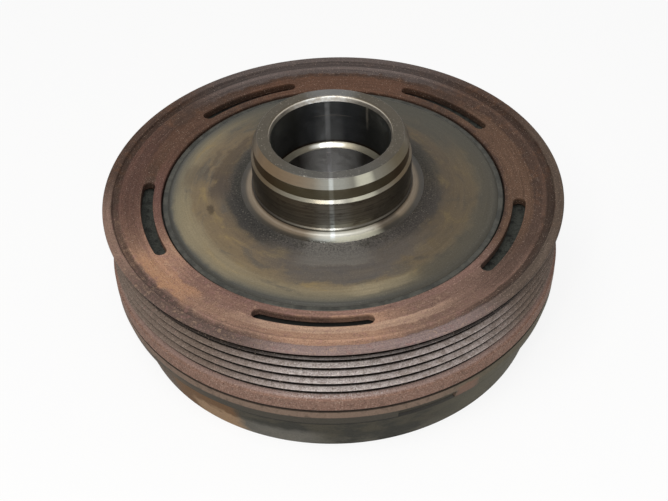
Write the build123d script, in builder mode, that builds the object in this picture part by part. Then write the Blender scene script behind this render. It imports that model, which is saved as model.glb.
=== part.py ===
"""Crankshaft pulley with a built-in torsional vibration damper, lying with its engine side up.

A turned steel hub carries a pressed sleeve, and two rubber rings are bonded to that sleeve. The
upper rubber ring holds the pulley rim, with its slotted rear flange and poly-V belt track. The
lower one holds the cast damper ring, which the pulley lies on.
"""
from build123d import *
import os
from math import radians, tan

os.makedirs("parts", exist_ok=True)

# Frame: the origin is on the shaft axis in the plane of the damper ring's front face, and +Z
# points towards the engine. Sizes are millimetres, radii are from the shaft axis, and angles are
# degrees from +X. A height named _z is measured from the front face.

# Sleeve, the middle of the bonded stack
sleeve_outer_radius = 58.1
sleeve_wall = 1.8
sleeve_chamfer = 0.4
sleeve_foot_z = 3.4
sleeve_drop = 0.8

# Rubber rings
rim_rubber_wall = 8.3
damper_rubber_wall = 4.3
rubber_flange_gap = 1.0
rubber_ring_gap = 1.5
rubber_foot_z = 2.6
rubber_hollow = 0.9

# Belt track, from the rim's bore outwards
rim_wall = 7.1
rim_bore_rounding = 1.0
groove_count = 6
groove_pitch = 3.56
groove_angle = 40.0
groove_depth = 3.2
tip_land = 0.36
guide_overhang = 0.8
guide_height = 5.05
guide_rounding = 0.4

# Rear flange of the pulley rim, from its edge inwards
flange_overhang = 1.5
flange_edge_height = 0.15
flange_edge_rounding = 0.9
flange_face_drop = 1.7
flange_thickness = 2.6
flange_clearance = 0.5
flange_bore_rounding = 0.5
crest_width = 3.0
valley_width = 1.6
valley_depth = 1.0
ridge_rise = 0.5
ridge_width = 0.9
face_slope_width = 4.7
corner_rounding = 0.5

# Slots through the rear flange
slot_count = 5
slot_inset = 4.85
slot_width = 4.2
slot_arc = 31.0
slot_first_angle = -97.0

# Damper ring
ring_height = 23.8
ring_gap = 0.7
ring_bore_chamfer = 1.2
ring_inset = 0.2
ring_band = 2.8
ring_lip_height = 6.8
ring_lip_taper = 0.9
ring_lip_step = 1.1
ring_cone_lean = 4.5
ring_foot_rounding = 1.0
ring_edge_rounding = 0.4
ring_notch_angle = -68.8
ring_notch_width = 15.0
ring_notch_height = 3.6

# Hub web and drum
drum_wall = 5.4
drum_foot_z = 3.0
drum_rounding = 0.6
web_edge_height = 0.6
web_edge_width = 0.9
web_rise = 3.3
web_thickness = 8.5
web_rounding = 4.0
web_knee_share = 0.45
web_knee_rise = 1.5

# Hub bore, from its mouth down
bore_radius = 20.0
mouth_width = 0.5
mouth_depth = 2.0
bore_length = 17.2
ledge_width = 1.8
ledge_depth = 1.4
lower_bore_length = 30.0
bore_rounding = 1.0

# Hub nose, from its wall outwards and from its root up
nose_wall = 6.0
shoulder_width = 0.85
shoulder_height = 1.0
collar_width = 0.45
root_width = 3.85
root_rounding = 1.6
root_step = 0.4
collar_height = 2.0
journal_height = 10.25
nose_band_height = 4.1
lead_in_width = 1.7
lead_in_height = 3.4

# Bolt wall and front boss
bolt_hole_radius = 8.75
bolt_wall = 10.0
seat_radius = 20.0
seat_rounding = 1.0
boss_wall = 7.0
boss_draft = 2.0
boss_foot_z = 6.0

# Radii that follow from the sizes above
flank = tan(radians(groove_angle / 2))
groove_mouth = groove_pitch - tip_land
sleeve_inner_radius = sleeve_outer_radius - sleeve_wall
rim_bore_radius = sleeve_outer_radius + rim_rubber_wall
root_radius = rim_bore_radius + rim_wall
tip_radius = root_radius + groove_depth
guide_radius = tip_radius + guide_overhang
flange_radius = tip_radius + flange_overhang
flange_bore_radius = sleeve_outer_radius + flange_clearance
slot_radius = flange_bore_radius + slot_inset
slot_pitch_angle = 360 / slot_count
ring_bore_radius = sleeve_outer_radius + damper_rubber_wall
ring_top_radius = guide_radius - ring_inset
ring_lip_radius = ring_top_radius - ring_lip_taper
ring_cone_radius = ring_lip_radius - ring_lip_step
ring_foot_radius = ring_cone_radius - ring_cone_lean
lower_bore_radius = bore_radius - ledge_width
nose_radius = bore_radius + nose_wall
journal_radius = nose_radius + shoulder_width
collar_radius = journal_radius + collar_width
boss_radius = seat_radius + boss_wall

# Heights that follow from the sizes above
ring_lip_z = ring_height - ring_lip_height
rim_front_z = ring_height + ring_gap
track_low_z = rim_front_z + guide_height
track_high_z = track_low_z + groove_count * groove_pitch - tip_land
crest_z = track_high_z + flange_edge_height + flange_edge_rounding
flange_face_z = crest_z - flange_face_drop
flange_under_z = flange_face_z - flange_thickness
sleeve_top_z = flange_face_z - sleeve_drop
web_edge_z = sleeve_top_z + web_edge_height
web_under_z = web_edge_z - web_thickness
web_root_z = web_edge_z + web_rise
collar_z = web_root_z + collar_height
journal_foot_z = collar_z + collar_width
journal_top_z = journal_foot_z + journal_height
nose_band_z = journal_top_z + shoulder_height
lead_in_z = nose_band_z + nose_band_height
nose_z = lead_in_z + lead_in_height
ledge_z = nose_z - mouth_depth - bore_length
lower_bore_top_z = ledge_z - ledge_depth
bolt_wall_top_z = lower_bore_top_z - lower_bore_length
seat_z = bolt_wall_top_z - bolt_wall


def turn(outline):
    """Turn a closed outline of (radius, height, corner rounding) points about the shaft axis."""
    with BuildSketch(Plane.XZ) as section:
        with BuildLine():
            FilletPolyline(
                *[(radius, height) for radius, height, _ in outline],
                radius=[rounding for _, _, rounding in outline],
                close=True,
            )
        make_face()
    revolve(section.sketch, axis=Axis.Z)


def bonded_ring(inner_radius, outer_radius, low_z, high_z):
    """Turn a rubber ring whose two free ends are hollow between its bonded walls."""
    middle_radius = (inner_radius + outer_radius) / 2
    with BuildSketch(Plane.XZ) as section:
        with BuildLine():
            Line((inner_radius, low_z), (inner_radius, high_z))
            ThreePointArc(
                (inner_radius, high_z),
                (middle_radius, high_z - rubber_hollow),
                (outer_radius, high_z),
            )
            Line((outer_radius, high_z), (outer_radius, low_z))
            ThreePointArc(
                (outer_radius, low_z),
                (middle_radius, low_z + rubber_hollow),
                (inner_radius, low_z),
            )
        make_face()
    revolve(section.sketch, axis=Axis.Z)


# Damper ring: a straight band, a tapered lip, and a cone that leans in towards the front face
with BuildPart() as damper_ring:
    turn(
        [
            (ring_bore_radius + ring_bore_chamfer, 0, 0),
            (ring_foot_radius, 0, ring_foot_rounding),
            (ring_cone_radius, ring_lip_z, 0),
            (ring_lip_radius, ring_lip_z, ring_edge_rounding),
            (ring_top_radius, ring_height - ring_band, 0),
            (ring_top_radius, ring_height, ring_edge_rounding),
            (ring_bore_radius, ring_height, 0),
            (ring_bore_radius, ring_bore_chamfer, 0),
        ]
    )
    # One notch in the lip, cut back to the cone's upper edge and open below and outside
    notch_low_z = ring_lip_z - ring_lip_step
    notch_high_z = ring_lip_z + ring_notch_height
    notch_outer_radius = ring_top_radius + ring_lip_step
    notch_plane = Plane.XZ.rotated((0, 0, ring_notch_angle - ring_notch_width / 2))
    with BuildSketch(notch_plane):
        with BuildLine():
            Polyline(
                (ring_cone_radius, notch_low_z),
                (notch_outer_radius, notch_low_z),
                (notch_outer_radius, notch_high_z),
                (ring_cone_radius, notch_high_z),
                close=True,
            )
        make_face()
    revolve(axis=Axis.Z, revolution_arc=ring_notch_width, mode=Mode.SUBTRACT)
damper_ring.part.label = "damper_ring"


# Pulley rim: guide band, poly-V grooves and the dished rear flange in one turned outline
def groove_corners(groove):
    """Give the corners of one groove, counted from the guide band, from its lower tip up."""
    lower_tip_z = track_low_z + groove * groove_pitch
    upper_tip_z = lower_tip_z + groove_mouth
    return [
        (tip_radius, lower_tip_z, 0),
        (root_radius, lower_tip_z + groove_depth * flank, 0),
        (root_radius, upper_tip_z - groove_depth * flank, 0),
        (tip_radius, upper_tip_z, 0),
    ]


track = [corner for groove in range(groove_count) for corner in groove_corners(groove)]
# The lowest flank runs on past the rib tips to the guide band
track[0] = (guide_radius, track_low_z - guide_overhang * flank, 0)

crest_inner_radius = flange_radius - crest_width
valley_outer_radius = crest_inner_radius - valley_depth / 2
valley_inner_radius = valley_outer_radius - valley_width
valley_z = crest_z - valley_depth
ridge_radius = valley_inner_radius - ridge_width
ridge_foot_radius = ridge_radius - ridge_width

with BuildPart() as pulley_rim:
    turn(
        [
            (rim_bore_radius, rim_front_z, 0),
            (guide_radius, rim_front_z, guide_rounding),
            *track,
            (flange_radius, track_high_z, 0),
            (flange_radius, crest_z, flange_edge_rounding),
            (crest_inner_radius, crest_z, corner_rounding / 2),
            (valley_outer_radius, valley_z, corner_rounding),
            (valley_inner_radius, valley_z, corner_rounding),
            (ridge_radius, valley_z + ridge_rise, corner_rounding / 2),
            (ridge_foot_radius, valley_z, corner_rounding),
            (ridge_foot_radius - face_slope_width, flange_face_z, corner_rounding),
            (flange_bore_radius, flange_face_z, flange_bore_rounding),
            (flange_bore_radius, flange_under_z, 0),
            (rim_bore_radius, flange_under_z, rim_bore_rounding),
        ]
    )
    # Arc slots through the flange, one sketch for all of them, cut from above its crest
    with BuildSketch(Plane.XY.offset(crest_z)):
        for slot in range(slot_count):
            start_angle = slot_first_angle + slot * slot_pitch_angle - slot_arc / 2
            SlotArc(CenterArc((0, 0), slot_radius, start_angle, slot_arc), slot_width)
    extrude(amount=flange_under_z - crest_z, mode=Mode.SUBTRACT)
pulley_rim.part.label = "pulley_rim"


# Sleeve pressed over the hub's drum, which both rubber rings are bonded to
with BuildPart() as hub_sleeve:
    turn(
        [
            (sleeve_inner_radius, sleeve_foot_z, 0),
            (sleeve_outer_radius, sleeve_foot_z, 0),
            (sleeve_outer_radius, sleeve_top_z, sleeve_chamfer),
            (sleeve_inner_radius, sleeve_top_z, 0),
        ]
    )
hub_sleeve.part.label = "hub_sleeve"


# Rubber ring under the slotted flange, bonded to the sleeve and to the rim's bore
with BuildPart() as rim_rubber:
    bonded_ring(
        sleeve_outer_radius,
        rim_bore_radius,
        rim_front_z + rubber_hollow,
        flange_under_z - rubber_flange_gap,
    )
rim_rubber.part.label = "rim_rubber"


# Rubber ring of the damper, bonded to the sleeve and to the damper ring's bore
with BuildPart() as damper_rubber:
    bonded_ring(
        sleeve_outer_radius,
        ring_bore_radius,
        rubber_foot_z,
        ring_height - rubber_ring_gap,
    )
damper_rubber.part.label = "damper_rubber"


# Hub: nose with seal journal and stepped bore, dished web, drum wall and front boss
drum_inner_radius = sleeve_inner_radius - drum_wall
web_edge_radius = sleeve_inner_radius - web_edge_width
web_root_radius = collar_radius + root_width
web_knee_radius = web_root_radius + (web_edge_radius - web_root_radius) * web_knee_share

with BuildPart() as hub:
    turn(
        [
            (bolt_hole_radius, seat_z, 0),
            (seat_radius, seat_z, seat_rounding),
            (seat_radius, boss_foot_z, 0),
            (boss_radius, boss_foot_z, seat_rounding),
            (boss_radius + boss_draft, web_under_z, web_rounding),
            (drum_inner_radius, web_under_z, web_rounding),
            (drum_inner_radius, drum_foot_z, drum_rounding),
            (sleeve_inner_radius, drum_foot_z, drum_rounding),
            (sleeve_inner_radius, sleeve_top_z, 0),
            (web_edge_radius, web_edge_z, 0),
            (web_knee_radius, web_edge_z + web_knee_rise, web_rounding),
            (web_root_radius + root_step, web_root_z - root_step, 0),
            (web_root_radius, web_root_z, 0),
            (collar_radius, web_root_z, root_rounding),
            (collar_radius, collar_z, 0),
            (journal_radius, journal_foot_z, 0),
            (journal_radius, journal_top_z, 0),
            (nose_radius, nose_band_z, 0),
            (nose_radius, lead_in_z, 0),
            (nose_radius - lead_in_width, nose_z, 0),
            (bore_radius + mouth_width, nose_z, 0),
            (bore_radius, nose_z - mouth_depth, 0),
            (bore_radius, ledge_z, 0),
            (lower_bore_radius, lower_bore_top_z, 0),
            (lower_bore_radius, bolt_wall_top_z, bore_rounding),
            (bolt_hole_radius, bolt_wall_top_z, 0),
        ]
    )
hub.part.label = "hub"


export_step(damper_ring.part, "parts/damper_ring.step")
export_step(pulley_rim.part, "parts/pulley_rim.step")
export_step(hub_sleeve.part, "parts/hub_sleeve.step")
export_step(rim_rubber.part, "parts/rim_rubber.step")
export_step(damper_rubber.part, "parts/damper_rubber.step")
export_step(hub.part, "parts/hub.step")
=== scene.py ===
"""Used crankshaft pulley with a built-in torsional vibration damper, lying engine side up.

The turned, pressed, bonded and cast rings of the part are built as fine meshes from their
outlines. Each one is dressed with the wear, rust and heat tint of a used part, with front light,
highlights and shade painted into some of its colours, and the part is lit as on a white studio
table. Outlines are in millimetres and objects are in metres.
"""
import logging
import math
from dataclasses import dataclass, field
from enum import Enum

import bpy
from mathutils import Matrix, Vector


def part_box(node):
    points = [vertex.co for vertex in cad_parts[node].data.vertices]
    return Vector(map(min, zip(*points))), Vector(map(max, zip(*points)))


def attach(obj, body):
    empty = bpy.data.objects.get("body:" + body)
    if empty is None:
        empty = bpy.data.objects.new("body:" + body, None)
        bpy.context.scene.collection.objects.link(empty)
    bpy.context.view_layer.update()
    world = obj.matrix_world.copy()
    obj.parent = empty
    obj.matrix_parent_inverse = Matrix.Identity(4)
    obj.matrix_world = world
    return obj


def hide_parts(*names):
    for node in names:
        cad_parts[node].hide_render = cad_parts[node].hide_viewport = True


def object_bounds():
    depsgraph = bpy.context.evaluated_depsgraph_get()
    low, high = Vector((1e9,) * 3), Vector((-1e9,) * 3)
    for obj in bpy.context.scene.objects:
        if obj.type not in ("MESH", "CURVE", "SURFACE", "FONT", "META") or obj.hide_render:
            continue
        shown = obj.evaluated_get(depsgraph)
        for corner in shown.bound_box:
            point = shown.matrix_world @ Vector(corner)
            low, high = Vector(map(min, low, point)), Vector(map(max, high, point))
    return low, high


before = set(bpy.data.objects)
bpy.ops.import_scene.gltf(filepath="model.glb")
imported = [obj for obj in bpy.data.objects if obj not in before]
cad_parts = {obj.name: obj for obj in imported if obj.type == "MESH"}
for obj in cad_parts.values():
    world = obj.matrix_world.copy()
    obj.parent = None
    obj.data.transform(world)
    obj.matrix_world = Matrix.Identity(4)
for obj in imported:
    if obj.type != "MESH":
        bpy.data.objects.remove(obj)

cad_low, cad_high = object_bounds()

log = logging.getLogger("pulley")

MM = 0.001
ROOT_BODY = "root"
PART_RADIUS = 78.0
WHITE = (1.0, 1.0, 1.0, 1.0)

# A noise lies round its middle value. A stain's edge strays by its raggedness times the reach.
NOISE_MIDDLE = 0.5
NOISE_REACH = 2.5

# Slope of the lines of one tool mark pattern: how much a millimetre of height counts beside a
# millimetre of radius, so that faces and walls both show lines.
HEIGHT_WEIGHT = 0.83

# Half width of a crisp border between two finishes, in millimetres.
BORDER = 0.05

Colour = tuple[float, float, float, float]
Paint = Colour | bpy.types.NodeSocket
Point = tuple[float, float]

# A fade holds the value where a mask is still 0 and the value where it is full. A span holds the
# lower and upper end of a band. A sector holds an azimuth in degrees from +X, the half angle
# inside which a mask is full, and the half angle outside which it is 0.
Fade = tuple[float, float]
Span = tuple[float, float]
Sector = tuple[float, float, float]


def srgb(red: int, green: int, blue: int) -> Colour:
    """Turn a screen colour into the linear colour that a shader takes.

    Args:
        red: Red from 0 to 255.
        green: Green from 0 to 255.
        blue: Blue from 0 to 255.

    Returns:
        The linear colour with full alpha.
    """
    linear = []
    for value in (red, green, blue):
        share = value / 255
        linear.append(share / 12.92 if share <= 0.04045 else ((share + 0.055) / 1.055) ** 2.4)
    return (linear[0], linear[1], linear[2], 1.0)


def heights(node: str) -> Span:
    """Give the lowest and highest height of a node of the frame, in millimetres."""
    low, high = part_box(node)
    return round(low[2] / MM, 2), round(high[2] / MM, 2)


def outer_radius(node: str) -> float:
    """Give the outer radius of a turned node of the frame, in millimetres."""
    return round(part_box(node)[1][0] / MM, 2)


class Signal:
    """A grey shader socket that takes part in Python expressions."""

    def __init__(self, graph: "Graph", socket: bpy.types.NodeSocket) -> None:
        """Keep the socket and the graph that new nodes go into."""
        self.graph = graph
        self.socket = socket

    def __add__(self, other: "Signal | float") -> "Signal":
        """Add a value."""
        return self.graph.math("ADD", self, other)

    def __radd__(self, other: float) -> "Signal":
        """Add this signal to a number."""
        return self.graph.math("ADD", other, self)

    def __sub__(self, other: "Signal | float") -> "Signal":
        """Take a value away."""
        return self.graph.math("SUBTRACT", self, other)

    def __rsub__(self, other: float) -> "Signal":
        """Take this signal away from a number."""
        return self.graph.math("SUBTRACT", other, self)

    def __mul__(self, other: "Signal | float") -> "Signal":
        """Multiply by a value."""
        return self.graph.math("MULTIPLY", self, other)

    def __rmul__(self, other: float) -> "Signal":
        """Multiply a number by this signal."""
        return self.graph.math("MULTIPLY", other, self)

    def __truediv__(self, other: "Signal | float") -> "Signal":
        """Divide by a value."""
        return self.graph.math("DIVIDE", self, other)

    def size(self) -> "Signal":
        """Drop the sign."""
        return self.graph.math("ABSOLUTE", self, 0.0)

    def most(self, other: "Signal | float") -> "Signal":
        """Take the larger of two values."""
        return self.graph.math("MAXIMUM", self, other)

    def rise(self, start: float, end: float) -> "Signal":
        """Rise smoothly from 0 at the start value to 1 at the end value.

        Args:
            start: Value at which the result is 0.
            end: Value at which the result is 1, which may be the smaller one.

        Returns:
            The result, held between 0 and 1.
        """
        node = self.graph.add(
            "ShaderNodeMapRange",
            {"interpolation_type": "SMOOTHSTEP"},
            {"Value": self, "From Min": start, "From Max": end},
        )
        return Signal(self.graph, node.outputs[0])

    def band(self, low: float, high: float, soft: float) -> "Signal":
        """Be 1 between two values, and fade to 0 over a soft edge outside them.

        Args:
            low: Lower end of the band.
            high: Upper end of the band.
            soft: Width of the fade on each side.

        Returns:
            The mask of the band.
        """
        middle = (low + high) / 2
        half = (high - low) / 2
        return (self - middle).size().rise(half + soft, half)


@dataclass(frozen=True)
class Place:
    """Where a shaded point lies, in millimetres from the shaft axis and the front face."""

    graph: "Graph"
    point: bpy.types.NodeSocket
    radius: Signal
    height: Signal
    east: Signal
    north: Signal

    def facing(self, azimuth: float) -> Signal:
        """Give 1 towards an azimuth in degrees, falling to -1 on the far side."""
        angle = math.radians(azimuth)
        return self.east * math.cos(angle) + self.north * math.sin(angle)

    def near(self, azimuth: float, core: float, reach: float) -> Signal:
        """Give 1 within some degrees of an azimuth, fading to 0.

        Args:
            azimuth: Middle of the sector in degrees from +X.
            core: Half angle in degrees inside which the mask is 1.
            reach: Half angle in degrees outside which the mask is 0.

        Returns:
            The mask of the sector.
        """
        edge, full = math.cos(math.radians(reach)), math.cos(math.radians(core))
        return self.facing(azimuth).rise(edge, full)

    def rising(self, level: float, fade: Fade) -> Signal:
        """Give the mask of a fade of heights that is measured from a level."""
        return self.height.rise(level + fade[0], level + fade[1])

    def above(self, level: float, soft: float) -> Signal:
        """Give 1 above a height and 0 below it, with a soft border."""
        return self.height.rise(level - soft, level + soft)

    def below(self, level: float, soft: float) -> Signal:
        """Give 1 below a height and 0 above it, with a soft border."""
        return self.height.rise(level + soft, level - soft)

    def turning_lines(self, across: float, along: float) -> bpy.types.NodeSocket:
        """Give a noise vector that is drawn out round the axis, like tool marks.

        Args:
            across: Noise cells for each millimetre of radius and height.
            along: Noise cells over the radius of the circle, for the slow change round it.

        Returns:
            The vector socket.
        """
        profile = self.radius + self.height * HEIGHT_WEIGHT
        return self.graph.vector(profile * across, self.east * along, self.north * along)


@dataclass(frozen=True)
class Grain:
    """A noise pattern: cells for each millimetre, finer layers, their strength, and its warp."""

    cells: float
    layers: float
    strength: float
    warp: float = 0.0

    def over(self, place: Place) -> Signal:
        """Lay the pattern over the part."""
        return place.graph.noise(place.point, self.cells, self.layers, self.strength, self.warp)


@dataclass(frozen=True)
class ToolMarks:
    """A noise pattern drawn out round the axis: cells across the marks and along them."""

    across: float
    along: float
    layers: float
    strength: float
    warp: float = 0.0

    def over(self, place: Place) -> Signal:
        """Lay the pattern over the part."""
        lines = place.turning_lines(self.across, self.along)
        return place.graph.noise(lines, 1.0, self.layers, self.strength, self.warp)


@dataclass(frozen=True)
class Dusting:
    """A colour that shows where a noise passes through a fade, at most by its share."""

    colour: Colour
    fade: Fade
    share: float

    def lay(
        self, noise: Signal, under: Paint, where: Signal | None = None
    ) -> bpy.types.NodeSocket:
        """Lay the colour over another.

        Args:
            noise: The noise.
            under: Colour under it.
            where: Mask of the area that it lies on, or None for everywhere.

        Returns:
            The mixed colour.
        """
        shown = noise.rise(*self.fade) * self.share
        if where is not None:
            shown = shown * where
        return noise.graph.tint(shown, under, self.colour)


@dataclass(frozen=True)
class WornDusting:
    """A colour that shows where a noise passes through a fade, with a share for worn, front-lit steel.
    """

    colour: Colour
    fade: Fade
    share: float
    worn_share: float

    def lay(self, noise: Signal, under: Paint, worn: Signal) -> bpy.types.NodeSocket:
        """Lay the colour over another.

        Args:
            noise: The noise.
            under: Colour under it.
            worn: How worn and front-lit the steel is, from 0 to 1.

        Returns:
            The mixed colour.
        """
        share = worn * (self.worn_share - self.share) + self.share
        return noise.graph.tint(noise.rise(*self.fade) * share, under, self.colour)


@dataclass(frozen=True)
class Sheen:
    """A patch within one sector of a turned step: mostly painted highlights and reflections, a few
    stains.
    """

    sector: Sector
    colour: Colour
    share: float = 1.0

    def lay(self, place: Place, under: Paint, step: Signal) -> bpy.types.NodeSocket:
        """Lay the patch over a colour.

        Args:
            place: Where the shaded point lies.
            under: Colour under it.
            step: Mask of the step that it lies on.

        Returns:
            The mixed colour.
        """
        return place.graph.tint(place.near(*self.sector) * step * self.share, under, self.colour)


@dataclass(frozen=True)
class Skin:
    """Values of a whole surface: depth of its fine relief in millimetres, metal edge, gloss."""

    depth: float
    edge: float = 1.0
    gloss: float = 0.5


class Graph:
    """The node tree of a material or a world, built by expressions."""

    def __init__(self, owner: bpy.types.Material | bpy.types.World) -> None:
        """Empty the owner's node tree.

        Args:
            owner: The material or world that the nodes belong to.
        """
        owner.use_nodes = True
        self.owner = owner
        self.tree = owner.node_tree
        self.tree.nodes.clear()

    def add(
        self, kind: str, settings: dict[str, object], inputs: dict[str, object]
    ) -> bpy.types.Node:
        """Add one node.

        Args:
            kind: Type of the node.
            settings: Properties of the node, which are set before its inputs. The name stops
                stands for a colour ramp's list of positions and colours.
            inputs: Values, signals or sockets by the identifier of the input they go to.

        Returns:
            The node.
        """
        node = self.tree.nodes.new(kind)
        for name, value in settings.items():
            if name == "stops":
                self.set_stops(node.color_ramp, value)
            else:
                setattr(node, name, value)
        for name, value in inputs.items():
            socket = next(socket for socket in node.inputs if socket.identifier == name)
            if isinstance(value, Signal):
                self.tree.links.new(value.socket, socket)
            elif isinstance(value, bpy.types.NodeSocket):
                self.tree.links.new(value, socket)
            else:
                socket.default_value = value
        return node

    @staticmethod
    def set_stops(ramp: bpy.types.ColorRamp, stops: list[tuple[float, Colour]]) -> None:
        """Give a colour ramp its stops.

        Args:
            ramp: The ramp, with its two first stops.
            stops: Positions from 0 to 1 and their colours, in rising order.
        """
        ramp.elements[0].position, ramp.elements[0].color = stops[0]
        ramp.elements[1].position, ramp.elements[1].color = stops[-1]
        for position, colour in stops[1:-1]:
            ramp.elements.new(position).color = colour

    def math(self, operation: str, first: Signal | float, second: Signal | float) -> Signal:
        """Add a Math node.

        Args:
            operation: Name of the operation.
            first: First operand.
            second: Second operand.

        Returns:
            The result.
        """
        node = self.add(
            "ShaderNodeMath", {"operation": operation}, {"Value": first, "Value_001": second}
        )
        return Signal(self, node.outputs[0])

    def vector(
        self, x: Signal | float, y: Signal | float, z: Signal | float
    ) -> bpy.types.NodeSocket:
        """Join three values into a vector.

        Args:
            x: First component.
            y: Second component.
            z: Third component.

        Returns:
            The vector socket.
        """
        return self.add("ShaderNodeCombineXYZ", {}, {"X": x, "Y": y, "Z": z}).outputs[0]

    def place(self) -> Place:
        """Measure where the shaded point lies on the part."""
        coordinates = self.add("ShaderNodeTexCoord", {}, {})
        point = self.add(
            "ShaderNodeVectorMath",
            {"operation": "SCALE"},
            {"Vector": coordinates.outputs["Object"], "Scale": 1 / MM},
        ).outputs["Vector"]
        axes = self.add("ShaderNodeSeparateXYZ", {}, {"Vector": point})
        x, y, z = (Signal(self, output) for output in axes.outputs)
        radius = self.math("SQRT", x * x + y * y, 0.0)
        return Place(self, point, radius, z, x / radius, y / radius)

    def noise(
        self, where: bpy.types.NodeSocket, scale: float, detail: float, rough: float, warp: float
    ) -> Signal:
        """Add a noise texture.

        Args:
            where: Vector that the noise is read at.
            scale: Noise cells for each unit of the vector.
            detail: Number of finer layers.
            rough: Strength of each finer layer beside the one before it.
            warp: How far the noise bends its own pattern.

        Returns:
            The noise, mostly between 0.3 and 0.7.
        """
        node = self.add(
            "ShaderNodeTexNoise",
            {},
            {"Vector": where, "Scale": scale, "Detail": detail, "Roughness": rough,
             "Distortion": warp},
        )
        return Signal(self, node.outputs[0])

    def tint(
        self, share: Signal | float, under: Paint, over: Paint
    ) -> bpy.types.NodeSocket:
        """Lay one colour over another.

        Args:
            share: How much of the upper colour shows, from 0 to 1.
            under: Lower colour.
            over: Upper colour.

        Returns:
            The mixed colour socket.
        """
        node = self.add(
            "ShaderNodeMix",
            {"data_type": "RGBA"},
            {"Factor_Float": share, "A_Color": under, "B_Color": over},
        )
        return next(output for output in node.outputs if output.identifier == "Result_Color")

    def shade(self, colour: Paint, level: Signal) -> bpy.types.NodeSocket:
        """Make a colour lighter or darker.

        Args:
            colour: Colour to change.
            level: Factor, where 1 leaves the colour as it is.

        Returns:
            The changed colour socket.
        """
        return self.add(
            "ShaderNodeVectorMath", {"operation": "SCALE"}, {"Vector": colour, "Scale": level}
        ).outputs["Vector"]

    def speckle(self, colour: Paint, *noises: tuple[Signal, float]) -> bpy.types.NodeSocket:
        """Let noises make a colour lighter and darker round its own level.

        Args:
            colour: Colour to change.
            noises: Each noise with the depth of its change.

        Returns:
            The changed colour socket.
        """
        level = 1 - NOISE_MIDDLE * sum(depth for _, depth in noises)
        for noise, depth in noises:
            level = noise * depth + level
        return self.shade(colour, level)

    def ramp(self, value: Signal, stops: list[tuple[float, Colour]]) -> bpy.types.NodeSocket:
        """Colour a value by a ramp.

        Args:
            value: Value from 0 to 1.
            stops: Positions and colours of the ramp.

        Returns:
            The colour socket.
        """
        node = self.add("ShaderNodeValToRGB", {"stops": stops}, {"Fac": value})
        return node.outputs["Color"]

    def finish(
        self, colour: bpy.types.NodeSocket, rough: Signal | float, metal: Signal | float,
        relief: Signal, skin: "Skin",
    ) -> bpy.types.Material:
        """Join the surface values into the material's shader.

        Args:
            colour: Base colour.
            rough: Roughness.
            metal: Share of bare metal.
            relief: Height of the fine relief, about 0 to 1.
            skin: Values that are the same all over the surface.

        Returns:
            The finished material.
        """
        bump = self.add(
            "ShaderNodeBump", {}, {"Strength": 1.0, "Distance": skin.depth * MM, "Height": relief}
        )
        shader = self.add(
            "ShaderNodeBsdfPrincipled",
            {},
            {"Base Color": colour, "Roughness": rough, "Metallic": metal,
             "Specular IOR Level": skin.gloss, "Specular Tint": (skin.edge, skin.edge, skin.edge, 1.0),
             "Normal": bump.outputs["Normal"]},
        )
        self.add("ShaderNodeOutputMaterial", {}, {"Surface": shader.outputs["BSDF"]})
        return self.owner

    def mix_shaders(
        self, share: Signal, first: bpy.types.Node, second: bpy.types.Node
    ) -> bpy.types.NodeSocket:
        """Join two shaders.

        Args:
            share: How much of the second shader shows, from 0 to 1.
            first: Node of the first shader.
            second: Node of the second shader.

        Returns:
            The joined shader.
        """
        inputs = {"Fac": share, "Shader": first.outputs[0], "Shader_001": second.outputs[0]}
        return self.add("ShaderNodeMixShader", {}, inputs).outputs[0]


class Across(Enum):
    """Which way a stain's span is measured."""

    RADIUS = "radius"
    HEIGHT = "height"


@dataclass(frozen=True)
class Stain:
    """A soft patch of colour on a turned face, in degrees and millimetres."""

    azimuth: float
    core: float
    reach: float
    span: Span
    colour: Colour
    share: float = 1.0
    soft: float = 1.0
    ragged: float = 0.0
    across: Across = Across.RADIUS

    def lay(self, place: Place, under: Paint, wander: Signal) -> bpy.types.NodeSocket:
        """Lay the stain over a colour.

        Args:
            place: Where the shaded point lies.
            under: Colour under the stain.
            wander: Noise that moves the stain's edge.

        Returns:
            The stained colour.
        """
        measured = place.radius if self.across is Across.RADIUS else place.height
        drift = (wander - NOISE_MIDDLE) * (NOISE_REACH * self.ragged)
        swing = math.sin(math.radians(self.reach)) / PART_RADIUS
        edge, full = math.cos(math.radians(self.reach)), math.cos(math.radians(self.core))
        sector = (place.facing(self.azimuth) + drift * swing).rise(edge, full)
        ring = (measured + drift).band(*self.span, self.soft)
        return place.graph.tint(sector * ring * self.share, under, self.colour)


@dataclass(frozen=True)
class FaceRing:
    """A ring of a turned face that is lighter or darker than the rest of it."""

    span: Span
    soft: float
    change: float


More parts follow.
